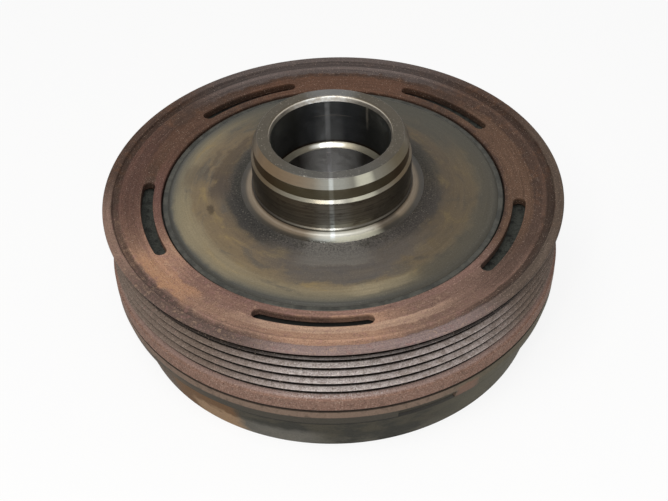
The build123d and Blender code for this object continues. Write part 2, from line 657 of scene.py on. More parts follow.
@dataclass(frozen=True)
class RimRust:
    """Thin rust over turned steel: tan towards the front, partly painted front light, brown and purple
    elsewhere.
    """

    # Tan of the face towards the front: partly the rust's tone, partly painted front light.
    worn: Colour = srgb(165, 130, 108)
    brown: Colour = srgb(74, 57, 48)
    deep: Colour = srgb(42, 32, 27)
    rib: Colour = srgb(119, 105, 95)
    # Rib colour towards the front: wear with a painted highlight.
    rib_worn_highlight: Colour = srgb(176, 166, 163)
    rib_foot: Colour = srgb(146, 121, 112)
    glint: Colour = srgb(212, 208, 205)
    # Black of the groove roots, partly soot and partly painted shade, and of the painted shade under
    # the flange and in the gap at the rim's foot.
    soot_and_shade: Colour = srgb(24, 20, 17)
    guide: Colour = srgb(129, 100, 87)
    speck: Colour = srgb(176, 158, 142)

    broad: Grain = Grain(0.06, 3.0, 0.6, 0.4)
    patch: Grain = Grain(0.24, 5.0, 0.68, 0.3)
    blotch: Grain = Grain(0.5, 5.0, 0.7, 0.4)
    wander: Grain = Grain(0.22, 3.0, 0.5)
    mottle: Grain = Grain(0.45, 4.0, 0.7)
    dust: Grain = Grain(2.6, 2.0, 0.6)
    grain: Grain = Grain(1.5, 3.0, 0.65)
    fleck: Grain = Grain(3.0, 1.0, 0.5)
    lines: ToolMarks = ToolMarks(1.5, 3.0, 3.0, 0.6)

    stains: tuple[Stain, ...] = (
        Stain(-53, 12, 29, (59, 76), srgb(112, 89, 79), 0.9, 2.0, 4.0),
        Stain(-28, 8, 24, (64, 71), srgb(84, 66, 57), 0.7, 1.6, 3.0),
        Stain(-50, 20, 36, (74.4, 79), srgb(90, 79, 72), 0.85, 1.0, 1.0),
        Stain(-30, 14, 34, (72.8, 74.8), srgb(66, 53, 45), 0.7, 0.6, 0.6),
        Stain(-156, 14, 32, (75.2, 79), srgb(124, 102, 91), 0.8, 0.9, 1.5),
        Stain(-154, 16, 34, (72.6, 74.9), srgb(84, 67, 58), 0.8, 0.7, 0.8),
        Stain(-90, 38, 62, (58, 61.0), srgb(124, 97, 88), 0.8, 0.7, 1.0),
        Stain(-124, 10, 27, (58, 65.0), srgb(116, 89, 80), 0.85, 2.4, 3.0),
        # Lighter crest at the front: wear with a painted highlight.
        Stain(-90, 20, 46, (74.6, 79), srgb(134, 117, 114), 0.9, 0.8, 0.8),
        Stain(-128, 10, 28, (73.8, 79), srgb(86, 71, 65), 0.92, 3.4, 1.2),
        Stain(-122, 6, 22, (65.0, 72), srgb(124, 98, 86), 0.6, 2.4, 2.5),
        Stain(-143, 4, 15, (65.5, 71), srgb(178, 134, 100), 0.55, 1.8, 3.0),
        Stain(-157, 5, 22, (61, 67), srgb(160, 124, 106), 0.5, 1.8, 3.0),
        Stain(176, 14, 34, (66, 72.5), srgb(90, 65, 57), 0.7, 1.2, 2.0),
        Stain(178, 12, 28, (58, 61.4), srgb(104, 74, 67), 0.75, 0.6, 1.0),
        Stain(150, 8, 26, (59, 66.5), srgb(88, 64, 51), 0.7, 1.4, 2.0),
        Stain(88, 16, 38, (59, 67.0), srgb(98, 70, 55), 0.75, 1.2, 1.5),
        Stain(92, 18, 50, (70, 79), srgb(98, 90, 88), 0.7, 1.5, 2.0),
        Stain(6, 22, 42, (60, 67.5), srgb(98, 75, 60), 0.75, 1.2, 1.5),
        # Painted highlight: light tan on the face just outside the front slot.
        Stain(-88, 12, 36, (65.9, 68.4), srgb(182, 152, 130), 0.7, 0.8, 1.0),
        Stain(-12, 22, 46, (75.5, 79), srgb(88, 76, 66), 0.7, 0.8, 1.2),
    )

    # The flange's face, tan towards the front: partly its rust's tone, partly painted front light.
    front_azimuth: float = -110.0
    front_ragged: float = 0.4
    front_fade: Fade = (0.28, 0.82)
    orange_rust: Dusting = Dusting(srgb(108, 76, 55), (0.5, 0.68), 0.4)
    deep_rust: Dusting = Dusting(deep, (0.47, 0.3), 0.5)
    pink_wear: Dusting = Dusting(srgb(140, 106, 100), (0.52, 0.66), 0.5)
    sand_wear: Dusting = Dusting(srgb(178, 148, 124), (0.46, 0.34), 0.35)
    # The ridge ring is lighter, a painted highlight; the valley and slope rings are darker. Towards the
    # front all three are weaker.
    face_rings: tuple[FaceRing, ...] = (
        FaceRing((71.4, 72.4), 0.35, 0.2),
        FaceRing((73.0, 74.9), 0.5, -0.3),
        FaceRing((67.4, 70.6), 1.0, -0.08),
    )
    ring_wear: float = 0.55
    line_depth: float = 1.1
    line_wear: float = 0.3
    slot_wall_fade: Fade = (49.6, 48.8)
    slot_wall_shade: float = 0.5

    # The belt track, lighter towards the front: worn ribs with a painted highlight and painted glints.
    track_lit_front: Sector = (-80, 8, 44)
    polish_highlight_base: float = 0.45
    polish_highlight_fade: Fade = (0.4, 0.6)
    track_pits: WornDusting = WornDusting(deep, (0.44, 0.3), 0.28, 0.10)
    track_rust: WornDusting = WornDusting(rib_foot, (0.56, 0.68), 0.5, 0.15)
    track_dust: Dusting = Dusting(deep, (0.46, 0.3), 0.25)
    track_glints: WornDusting = WornDusting(glint, (0.56, 0.68), 0.06, 0.40)
    track_foot_fade: Fade = (1.6, 0.4)
    track_foot_share: float = 0.8
    sparkle_front: Sector = (-91, 3, 17)
    sparkle: Dusting = Dusting(glint, (0.48, 0.64), 0.6)
    # Painted shade: the groove roots, partly soot, and the uppermost groove under the flange, weaker at
    # the front.
    soot_and_shade_radii: Fade = (75.5, 75.0)
    soot_and_shade_border: float = 0.1
    flash_lit_front: Sector = (-86, 8, 26)
    top_rib_fade: Fade = (-0.9, -0.4)
    top_rib_shade: float = 0.6
    top_rib_beside: float = 0.26
    guide_rust: Dusting = Dusting(brown, (0.5, 0.36), 0.4)
    guide_specks: Dusting = Dusting(speck, (0.55, 0.65), 0.45)
    guide_pits: Dusting = Dusting(brown, (0.46, 0.34), 0.45)
    guide_border: float = 0.2

    # The whole rim.
    shaded_groove_drop: float = 3.05
    side_radii: Fade = (72.7, 73.0)
    grain_depth: float = 0.6
    light_flecks: Dusting = Dusting(speck, (0.66, 0.76), 0.7)
    dark_flecks: Dusting = Dusting(deep, (0.36, 0.26), 0.6)
    # Fade of the painted shade in the gap at the rim's foot.
    seam_shade_fade: Fade = (0.6, 0.25)
    metal_front: Sector = (-90, 8, 34)
    metal: float = 0.35
    rough: float = 0.7
    polished_loss: float = 0.6
    line_relief: float = 0.6
    skin: Skin = Skin(0.07, gloss=0.14)

    def face_colour(self, graph: Graph, place: Place, lines: Signal) -> bpy.types.NodeSocket:
        """Colour the flange's upper face.

        Args:
            graph: Node tree.
            place: Where the shaded point lies.
            lines: Noise drawn out round the axis.

        Returns:
            The colour.
        """
        patch, blotch = self.patch.over(place), self.blotch.over(place)
        drift = (self.broad.over(place) - NOISE_MIDDLE) * self.front_ragged
        # The face turns tan towards the front: partly rust tone, partly painted front light.
        front = (place.facing(self.front_azimuth) + drift).rise(*self.front_fade)
        colour = graph.tint(front, self.brown, self.worn)
        colour = self.orange_rust.lay(patch, colour, 1 - front)
        colour = self.deep_rust.lay(patch, colour, 1 - front)
        wander = self.wander.over(place)
        for stain in self.stains:
            colour = stain.lay(place, colour, wander)
        colour = self.pink_wear.lay(blotch, colour, front)
        colour = self.sand_wear.lay(blotch, colour, front)
        side = 1.0 - front * self.ring_wear
        # Painted highlight on the ridge ring; the valley and slope rings are darker.
        level = 1.0
        for ring in self.face_rings:
            level = place.radius.band(*ring.span, ring.soft) * side * ring.change + level
        level = level + (lines - NOISE_MIDDLE) * (self.line_depth - front * self.line_wear)
        wall = place.height.rise(*self.slot_wall_fade) * self.slot_wall_shade
        return graph.shade(colour, level * (1 - wall))

    def track_colour(
        self, graph: Graph, place: Place, low: float, high: float, grain: Signal
    ) -> bpy.types.NodeSocket:
        """Colour the belt track and the guide band.

        Args:
            graph: Node tree.
            place: Where the shaded point lies.
            low: Height of the track's lower end.
            high: Height above which the uppermost groove is painted dark, the flange's painted shadow.
            grain: Fine noise.

        Returns:
            The colour.
        """
        mottle, dust = self.mottle.over(place), self.dust.over(place)
        # Painted highlight: the ribs turn lighter towards the front, over their wear.
        worn = place.near(*self.track_lit_front)
        polished = worn * (self.polish_highlight_base + mottle.rise(*self.polish_highlight_fade) * (1 - self.polish_highlight_base))
        colour = graph.tint(polished, self.rib, self.rib_worn_highlight)
        colour = self.track_pits.lay(mottle, colour, worn)
        colour = self.track_rust.lay(mottle, colour, worn)
        colour = self.track_dust.lay(dust, colour)
        colour = self.track_glints.lay(grain, colour, worn)
        foot = place.rising(low, self.track_foot_fade) * self.track_foot_share
        colour = graph.tint(foot, colour, self.rib_foot)
        colour = self.sparkle.lay(dust, colour, place.near(*self.sparkle_front))
        # Painted shade in the groove roots, partly soot, and the flange's painted shadow on the
        # uppermost groove.
        soot_and_shade = place.radius.rise(*self.soot_and_shade_radii).most(place.above(high, self.soot_and_shade_border))
        beside = 1 - place.near(*self.flash_lit_front)
        share = self.top_rib_shade + beside * self.top_rib_beside
        soot_and_shade = soot_and_shade.most(place.rising(high, self.top_rib_fade) * share)
        colour = graph.tint(soot_and_shade, colour, self.soot_and_shade)
        guide = self.guide_rust.lay(mottle, self.guide)
        guide = self.guide_specks.lay(dust, guide)
        guide = self.guide_pits.lay(dust, guide)
        return graph.tint(place.below(low, self.guide_border), colour, guide)

    def material(self, foot: float, track_low: float, track_high: float) -> bpy.types.Material:
        """Build the material.

        Args:
            foot: Height of the rim's lower edge.
            track_low: Height where the guide band ends.
            track_high: Height where the uppermost groove ends, under the flange.

        Returns:
            The material.
        """
        graph = Graph(bpy.data.materials.new("rusty_rim"))
        place = graph.place()
        grain, fleck = self.grain.over(place), self.fleck.over(place)
        lines = self.lines.over(place)
        colour = self.face_colour(graph, place, lines)
        # The uppermost groove is painted dark from here up, as the flange's shadow.
        shaded_from = track_high - self.shaded_groove_drop
        track = self.track_colour(graph, place, track_low, shaded_from, grain)
        side = place.radius.rise(*self.side_radii) * place.below(track_high, BORDER)
        colour = graph.tint(side, colour, track)
        colour = graph.speckle(colour, (grain, self.grain_depth), (fleck, self.grain_depth))
        colour = self.light_flecks.lay(fleck, colour)
        colour = self.dark_flecks.lay(fleck, colour)
        # Painted shade in the gap at the rim's foot.
        colour = graph.tint(place.rising(foot, self.seam_shade_fade) * side, colour, self.soot_and_shade)
        metal = side * place.near(*self.metal_front) * self.metal
        rough = self.rough - metal * self.polished_loss
        relief = grain + fleck + lines * self.line_relief
        return graph.finish(colour, rough, metal, relief, self.skin)


@dataclass(frozen=True)
class Turned:
    """Colours of one turned step: on its sides, in front with painted front light, and in its bright
    front streak, a painted highlight.
    """

    side: Colour
    front: Colour
    streak: Colour

    def blend(self, graph: Graph, front: Signal, streak: Signal) -> bpy.types.NodeSocket:
        """Join the three colours.

        Args:
            graph: Node tree.
            front: 1 on the front of the part.
            streak: 1 in the narrow streak.

        Returns:
            The colour.
        """
        return graph.tint(streak, graph.tint(front, self.side, self.front), self.streak)


@dataclass(frozen=True)
class Streak:
    """A painted highlight streak up a turned wall: its sharp core, the glow beside it, the core's
    share.
    """

    core: Sector
    glow: Sector
    share: float

    def over(self, place: Place) -> Signal:
        """Give 1 in the middle of the streak, falling to 0 beside it."""
        core = place.near(*self.core)
        return core * core * self.share + place.near(*self.glow) * (1 - self.share)


@dataclass(frozen=True)
class NoseSteel:
    """Turned steel of the nose: polished bevels, oil-stained journal and bore, with painted front light
    and highlights.
    """

    # Each step's front and streak colours are painted front light and a painted highlight; in the bore
    # they lie on the back wall.
    land: Turned = Turned(srgb(70, 64, 55), srgb(180, 182, 176), srgb(204, 208, 206))
    fillet: Turned = Turned(srgb(124, 111, 94), srgb(190, 188, 177), srgb(226, 230, 230))
    collar: Turned = Turned(srgb(52, 47, 41), srgb(86, 82, 74), srgb(136, 138, 136))
    journal: Turned = Turned(srgb(82, 77, 68), srgb(124, 118, 106), srgb(188, 194, 195))
    shoulder: Turned = Turned(srgb(92, 80, 62), srgb(120, 117, 106), srgb(146, 147, 144))
    nose_band: Turned = Turned(srgb(86, 72, 54), srgb(114, 110, 92), srgb(158, 160, 148))
    lead_in: Turned = Turned(srgb(94, 85, 67), srgb(126, 124, 114), srgb(180, 184, 180))
    ring_face: Turned = Turned(srgb(84, 78, 68), srgb(86, 84, 79), srgb(110, 109, 107))
    bore: Turned = Turned(srgb(84, 85, 83), srgb(114, 117, 121), srgb(222, 225, 228))
    ledge: Turned = Turned(srgb(88, 84, 73), srgb(112, 106, 92), srgb(246, 248, 244))
    lower_bore: Turned = Turned(srgb(104, 99, 95), srgb(226, 226, 224), srgb(252, 252, 254))
    mouth: Turned = Turned(srgb(186, 178, 165), srgb(206, 200, 190), srgb(248, 250, 248))
    gritty: Colour = srgb(52, 49, 44)
    oil: Colour = srgb(60, 52, 43)
    brown_edge: Colour = srgb(74, 52, 32)
    bright: Colour = srgb(206, 204, 184)

    grain: Grain = Grain(1.8, 3.0, 0.6)
    smear: ToolMarks = ToolMarks(0.5, 5.0, 3.0, 0.6)
    lines: ToolMarks = ToolMarks(3.4, 1.2, 2.0, 0.6)
    sparkle: ToolMarks = ToolMarks(0.4, 7.0, 2.0, 0.6)

    # The land and the fillet at the foot of the nose.
    # Sectors of the painted front light and of the painted highlight streak.
    front: Sector = (-88, 12, 58)
    nose_streak: Streak = Streak((-91, 0, 2.5), (-90, 0, 15), 0.75)
    fillet_front: Sector = (-83, 9, 29)
    land_front: Sector = (-87, 4, 22)
    land_radii: Fade = (28.5, 29.8)
    rough_radii: Fade = (29.4, 31.0)
    rough_fade: Fade = (0.75, 0.45)
    # Painted reflection on the machined land, right of the front.
    land_reflection: Sheen = Sheen((-76, 6, 20), bright, 0.7)
    land_reflection_radii: Span = (28.7, 30.9)
    land_reflection_soft: float = 0.4
    land_reflection_ragged: float = 2.0
    land_reflection_fade: Fade = (1.0, 0.0)
    oiled_foot: Sheen = Sheen((-50, 3, 11), gritty, 0.6)
    oiled_fade: Fade = (0.0, -0.6)

    # The steps of the nose from the collar up to its face.
    step_border: float = 0.06
    collar_drop: float = 0.7
    face_drop: float = 0.2
    face_fade: Fade = (-0.3, -0.1)
    face_glow: Sheen = Sheen((88, 6, 28), ring_face.streak)
    face_specks: Dusting = Dusting(mouth.side, (0.6, 0.72), 0.4)
    lead_in_inset: Span = (0.1, 0.3)
    lead_in_soft: float = 0.1
    lead_in_tan: Sheen = Sheen((-136, 12, 44), srgb(122, 100, 76), 0.7)
    lead_in_glint: Sheen = Sheen((-66, 1, 9), bright, 0.7)
    shoulder_flash: Sheen = Sheen((-68, 2, 13), bright, 0.5)
    shoulder_soft: float = 0.2
    journal_soft: float = 0.1
    line_oil_fade: Fade = (0.54, 0.42)
    line_oil: float = 0.35
    smear_oil_fade: Fade = (0.5, 0.36)
    smear_oil: float = 0.4

    # The bore, its mouth bevel and its ledge, with painted front light on the back wall and painted
    # highlights.
    back: Sector = (90, 8, 40)
    bore_streak: Streak = Streak((92.5, 0, 3.8), (91, 0, 16), 0.8)
    bore_glow: Sheen = Sheen((91, 0, 18), bore.streak, 0.35)
    glow_under_mouth: float = 3.0
    glow_over_ledge: float = 2.0
    # Painted reflection: a fine upright line in the bore.
    fine_reflection: Sheen = Sheen((50.7, 0.6, 1.8), mouth.side, 0.7)
    fine_reflection_fade: Fade = (-11.0, -4.0)
    scribe: Sheen = Sheen((88, 8, 22), mouth.front, 0.6)
    scribe_span: Span = (-5.9, -5.7)
    scribe_soft: float = 0.12
    ledge_inset: float = 0.55
    ledge_soft: float = 0.5
    ledge_glints: tuple[Sector, Sector] = ((92, 1, 4), (99, 1, 4))
    ledge_glow: Sector = (94, 2, 22)
    ledge_glow_share: float = 0.5
    ledge_rust_fade: Fade = (1.4, 0.2)
    ledge_rust: float = 0.8
    mouth_light: Sector = (98, 6, 32)
    mouth_fade: Fade = (0.35, 0.6)
    mouth_border: float = 0.1

    # The surface of all of them.
    speckle_depth: float = 0.2
    rough: float = 0.26
    rough_grain: float = 0.1
    rough_smear_fade: Fade = (0.6, 0.35)
    metal: float = 0.92
    mouth_matt: Sector = (101, 14, 42)
    mouth_matt_share: float = 0.5
    mouth_core: Sector = (92, 6, 20)
    mouth_core_share: float = 0.3
    foot_fade: Fade = (-0.4, -0.9)
    foot_rough: float = 0.14
    foot_metal_loss: float = 0.72
    grain_relief: float = 0.4
    skin: Skin = Skin(0.012, edge=0.9)

    def outside(
        self, graph: Graph, place: Place, hub: "Hub", grain: Signal
    ) -> bpy.types.NodeSocket:
        """Colour the nose from its root up to its upper face.

        Args:
            graph: Node tree.
            place: Where the shaded point lies.
            hub: The hub, which knows the heights of its steps.
            grain: Fine noise.

        Returns:
            The colour.
        """
        front, streak = place.near(*self.front), self.nose_streak.over(place)
        colour = self.fillet.blend(graph, place.near(*self.fillet_front), streak)
        land = self.land.blend(graph, place.near(*self.land_front), streak)
        colour = graph.tint(place.radius.rise(*self.land_radii), colour, land)
        rough_rim = place.radius.rise(*self.rough_radii) * grain.rise(*self.rough_fade)
        colour = graph.tint(rough_rim, colour, self.gritty)
        steps = (
            (hub.collar_top - self.collar_drop, self.collar),
            (hub.journal_foot, self.journal),
            (hub.journal_top, self.shoulder),
            (hub.band_foot, self.nose_band),
            (hub.lead_in_foot, self.lead_in),
            (hub.nose_top - self.face_drop, self.ring_face),
        )
        for foot, step in steps:
            step_colour = step.blend(graph, front, streak)
            colour = graph.tint(place.above(foot, self.step_border), colour, step_colour)
        face = place.rising(hub.nose_top, self.face_fade)
        colour = self.face_glow.lay(place, colour, face)
        lead_in = place.height.band(
            hub.lead_in_foot + self.lead_in_inset[0], hub.nose_top - self.lead_in_inset[1],
            self.lead_in_soft,
        )
        colour = self.lead_in_tan.lay(place, colour, lead_in)
        colour = self.lead_in_glint.lay(place, colour, lead_in)
        shoulder = place.height.band(hub.journal_top, hub.band_foot, self.shoulder_soft)
        colour = self.shoulder_flash.lay(place, colour, shoulder)
        colour = self.face_specks.lay(grain, colour, face)
        oiled = place.rising(hub.collar_top, self.oiled_fade)
        colour = self.oiled_foot.lay(place, colour, oiled)
        # Painted reflection on the land, with a ragged edge.
        edge = place.radius + (grain - NOISE_MIDDLE) * self.land_reflection_ragged
        land_reflection = edge.band(*self.land_reflection_radii, self.land_reflection_soft)
        land_reflection = land_reflection * place.rising(hub.root_height, self.land_reflection_fade)
        return self.land_reflection.lay(place, colour, land_reflection)

    def inside(self, graph: Graph, place: Place, hub: "Hub") -> bpy.types.NodeSocket:
        """Colour the bore, its mouth bevel and its ledge.

        Args:
            graph: Node tree.
            place: Where the shaded point lies.
            hub: The hub, which knows the heights of its steps.

        Returns:
            The colour.
        """
        height, top = place.height, hub.nose_top - hub.mouth_depth
        back, streak = place.near(*self.back), self.bore_streak.over(place)
        bore = self.bore.blend(graph, back, streak)
        glow = height.rise(top - self.glow_under_mouth, hub.ledge + self.glow_over_ledge)
        bore = self.bore_glow.lay(place, bore, glow)
        # Painted reflection line in the bore.
        bore = self.fine_reflection.lay(place, bore, place.rising(top, self.fine_reflection_fade))
        low, high = self.scribe_span
        scribed = height.band(top + low, top + high, self.scribe_soft)
        bore = self.scribe.lay(place, bore, scribed)
        rust = place.rising(hub.ledge, self.ledge_rust_fade) * self.ledge_rust
        bore = graph.tint(rust, bore, self.brown_edge)
        # Painted highlight in the middle of the ledge, with glints near the back.
        middle = height.band(
            hub.ledge_foot + self.ledge_inset, hub.ledge - self.ledge_inset, self.ledge_soft
        )
        first, second = self.ledge_glints
        glitter = place.near(*first).most(place.near(*second))
        glitter = glitter + place.near(*self.ledge_glow) * self.ledge_glow_share
        ledge = self.ledge.blend(graph, back * middle, glitter * middle)
        lower = self.lower_bore.blend(graph, back, streak)
        sparkle = self.sparkle.over(place).rise(*self.mouth_fade)
        mouth = self.mouth.blend(graph, back, place.near(*self.mouth_light) * sparkle)
        colour = graph.tint(place.below(hub.ledge, BORDER), bore, ledge)
        colour = graph.tint(place.below(hub.ledge_foot, BORDER), colour, lower)
        return graph.tint(place.above(top, BORDER), colour, mouth)

    def material(self, hub: "Hub") -> bpy.types.Material:
        """Build the material.

        Args:
            hub: The hub, which knows the heights of its steps.

        Returns:
            The material.
        """
        graph = Graph(bpy.data.materials.new("nose_steel"))
        place = graph.place()
        grain, smear = self.grain.over(place), self.smear.over(place)
        lines = self.lines.over(place)
        colour = self.outside(graph, place, hub, grain)
        journal = place.height.band(hub.journal_foot, hub.journal_top, self.journal_soft)
        worn = lines.rise(*self.line_oil_fade) * self.line_oil
        worn = worn + smear.rise(*self.smear_oil_fade) * self.smear_oil
        colour = graph.tint(journal * worn, colour, self.oil)
        rim = hub.bore_radius + hub.mouth_width
        in_bore = place.radius.rise(rim + self.mouth_border, rim)
        colour = graph.tint(in_bore, colour, self.inside(graph, place, hub))
        depth = self.speckle_depth
        colour = graph.speckle(colour, (grain, depth), (lines, depth), (smear, depth))
        rough = self.rough + grain * self.rough_grain
        rough = rough + smear.rise(*self.rough_smear_fade) * self.rough_grain
        mouth = in_bore * place.above(hub.nose_top - hub.mouth_depth, BORDER)
        matt = place.near(*self.mouth_matt) * self.mouth_matt_share
        matt = matt + place.near(*self.mouth_core) * self.mouth_core_share
        foot = place.rising(hub.collar_top, self.foot_fade) * (1 - in_bore)
        rough = rough + foot * self.foot_rough
        metal = self.metal - mouth * matt - foot * self.foot_metal_loss
        return graph.finish(colour, rough, metal, grain * self.grain_relief + lines, self.skin)


@dataclass(frozen=True)
class WebSteel:
    """Oil-stained forged steel of the web: olive, with a smoky ring round the nose and painted shade on
    its right and back.
    """

    web: tuple[tuple[float, Colour], ...] = (
        (30.5, srgb(62, 58, 52)),
        (32.0, srgb(56, 54, 49)),
        (34.0, srgb(62, 58, 53)),
        (36.0, srgb(80, 73, 63)),
        (39.0, srgb(102, 89, 72)),
        (43.0, srgb(114, 99, 77)),
        (47.5, srgb(116, 102, 80)),
        (50.8, srgb(126, 115, 93)),
        (52.6, srgb(115, 107, 89)),
        (54.3, srgb(97, 93, 82)),
        (55.2, srgb(76, 75, 70)),
        (55.8, srgb(62, 61, 56)),
    )
    shade: Colour = srgb(66, 59, 49)
    under: Colour = srgb(86, 78, 67)
    grit: Colour = srgb(146, 141, 128)
    pit: Colour = srgb(30, 29, 27)
    stains: tuple[Stain, ...] = (
        Stain(-86, 20, 52, (34, 42.0), srgb(82, 78, 75), 0.7, 4.0, 6.0),
        Stain(-88, 8, 30, (42.5, 47.0), srgb(86, 82, 79), 0.8, 2.5, 5.0),
        Stain(-90, 6, 24, (31.0, 39.5), srgb(108, 105, 100), 0.65, 2.4, 4.0),
        Stain(-72.5, 4, 16, (49.8, 52.4), srgb(150, 138, 112), 0.6, 1.2, 1.5),
        Stain(-164, 6, 20, (49.3, 53.6), srgb(138, 128, 102), 0.5, 1.8, 1.5),
        Stain(-146, 8, 26, (48.5, 53.0), srgb(136, 124, 100), 0.5, 2.4, 2.0),
        Stain(152, 14, 36, (37.0, 40.5), srgb(78, 66, 52), 0.7, 2.2, 3.0),
        Stain(178, 2, 13, (35.0, 40.0), srgb(72, 63, 56), 0.7, 2.4, 5.0),
        Stain(-166, 0.5, 4, (42.4, 43.2), srgb(64, 54, 42), 0.75, 1.2, 2.0),
        Stain(160, 3, 14, (44.4, 45.0), srgb(76, 66, 56), 0.5, 1.2, 3.0),
        Stain(169, 2, 9, (48.5, 51.2), srgb(86, 76, 64), 0.5, 1.4, 3.0),
        Stain(-150, 10, 30, (31.0, 35.5), srgb(52, 50, 48), 0.8, 2.0, 2.5),
        Stain(-30, 8, 32, (31.5, 36.0), srgb(58, 54, 51), 0.8, 2.4, 3.0),
        Stain(45, 20, 50, (30.0, 36.0), srgb(58, 56, 51), 0.6, 2.0, 2.0),
        # These two darken the web on the right and at the back: painted shade.
        Stain(0, 46, 82, (51.0, 57.0), srgb(72, 69, 61), 0.75, 3.5, 3.0),
        Stain(78, 32, 72, (44.0, 57.0), srgb(74, 72, 64), 0.8, 3.0, 2.0),
    )
    patch: Grain = Grain(0.13, 5.0, 0.6, 0.6)
    swirl: ToolMarks = ToolMarks(0.22, 3.4, 4.0, 0.62, 0.5)
    grain: Grain = Grain(1.9, 3.0, 0.6)
    fleck: Grain = Grain(3.1, 1.0, 0.5)
    clumps: Grain = Grain(0.8, 4.0, 0.7)
    lines: ToolMarks = ToolMarks(1.6, 2.2, 3.0, 0.6)
    ragged: float = 5.0
    ragged_radii: Span = (36, 46)
    ragged_soft: float = 5.0
    middle_radii: Span = (38, 50)
    middle_soft: float = 4.0
    golden: Dusting = Dusting(srgb(138, 119, 82), (0.52, 0.68), 0.7)
    smoky: Dusting = Dusting(srgb(80, 77, 72), (0.48, 0.32), 0.62)
    dark_azimuth: float = 8.0
    dark_ragged: float = 0.5
    dark_fade: Fade = (-0.1, 0.75)
    dark_radii: Fade = (57, 53)
    dark_share: float = 0.58
    gritty_radii: Fade = (38.5, 32)
    gritty_fade: Fade = (0.0, 2.0)
    clump_pits: Dusting = Dusting(pit, (0.5, 0.36), 0.35)
    grain_pits: Dusting = Dusting(pit, (0.48, 0.34), 0.6)
    grain_grit: Dusting = Dusting(grit, (0.6, 0.72), 0.45)
    under_rust: Dusting = Dusting(srgb(98, 70, 50), (0.5, 0.64), 0.7)
    under_fade: Fade = (1.0, 0.0)
    grain_depth: float = 0.42
    line_depth: float = 0.4
    fleck_depth: float = 0.38
    light_flecks: Dusting = Dusting(grit, (0.7, 0.78), 0.35)
    rough: float = 0.52
    rough_grit: float = 0.15
    metal: float = 0.15
    line_relief: float = 0.6
    grain_relief: float = 0.6
    skin: Skin = Skin(0.04, edge=0.7, gloss=0.22)

    def web_colour(self, graph: Graph, radius: Signal, patch: Signal) -> bpy.types.NodeSocket:
        """Colour the web by its radius, with ragged rings.

        Args:
            graph: Node tree.
            radius: Radius of the shaded point.
            patch: Noise that moves the rings.

        Returns:
            The colour.
        """
        start, end = self.web[0][0], self.web[-1][0]
        stops = [((stop - start) / (end - start), colour) for stop, colour in self.web]
        ragged = radius.band(*self.ragged_radii, self.ragged_soft)
        moved = radius + (patch - NOISE_MIDDLE) * self.ragged * ragged
        return graph.ramp((moved - start) / (end - start), stops)

    def material(self, web_under: float) -> bpy.types.Material:
        """Build the material.

        Args:
            web_under: Height of the web's front side, below which the steel is plainer.

        Returns:
            The material.
        """
        graph = Graph(bpy.data.materials.new("web_steel"))
        place = graph.place()
        radius = place.radius
        patch, swirl = self.patch.over(place), self.swirl.over(place)
        grain, fleck = self.grain.over(place), self.fleck.over(place)
        lines = self.lines.over(place)
        colour = self.web_colour(graph, radius, patch)
        middle = radius.band(*self.middle_radii, self.middle_soft)
        colour = self.golden.lay(swirl, colour, middle)
        colour = self.smoky.lay(swirl, colour, middle)
        # Painted shade: the web turns darker towards the right.
        drift = (patch - NOISE_MIDDLE) * self.dark_ragged
        dark = (place.facing(self.dark_azimuth) + drift).rise(*self.dark_fade)
        dark = dark * radius.rise(*self.dark_radii) * self.dark_share
        colour = graph.tint(dark, colour, self.shade)
        for stain in self.stains:
            colour = stain.lay(place, colour, patch)
        gritty = radius.rise(*self.gritty_radii) * place.rising(web_under, self.gritty_fade)
        colour = self.clump_pits.lay(self.clumps.over(place), colour, gritty)
        colour = self.grain_pits.lay(grain, colour, gritty)
        colour = self.grain_grit.lay(grain, colour, gritty)
        below = self.under_rust.lay(patch, self.under)
        colour = graph.tint(place.rising(web_under, self.under_fade), colour, below)
        colour = graph.speckle(
            colour, (grain, self.grain_depth), (lines, self.line_depth), (fleck, self.fleck_depth)
        )
        colour = self.light_flecks.lay(fleck, colour)
        rough = self.rough + gritty * self.rough_grit
        relief = grain * (self.grain_relief + gritty) + lines * self.line_relief
        return graph.finish(colour, rough, self.metal, relief, self.skin)


@dataclass(frozen=True)
class SleeveSteel:
    """Dull pressed steel whose end shows as a fine line between web and flange."""

    light: Colour = srgb(78, 77, 71)
    dull: Colour = srgb(58, 58, 54)
    patch: Grain = Grain(0.3, 3.0, 0.6)
    patch_fade: Fade = (0.35, 0.65)
    grain: Grain = Grain(1.8, 2.0, 0.6)
    grain_depth: float = 0.6
    rough: float = 0.5
    metal: float = 0.3
    skin: Skin = Skin(0.03, edge=0.7, gloss=0.3)

    def material(self) -> bpy.types.Material:
        """Build the material."""
        graph = Graph(bpy.data.materials.new("sleeve_steel"))
        place = graph.place()
        patch, grain = self.patch.over(place), self.grain.over(place)
        colour = graph.tint(patch.rise(*self.patch_fade), self.dull, self.light)
        colour = graph.speckle(colour, (grain, self.grain_depth))
        return graph.finish(colour, self.rough, self.metal, grain, self.skin)


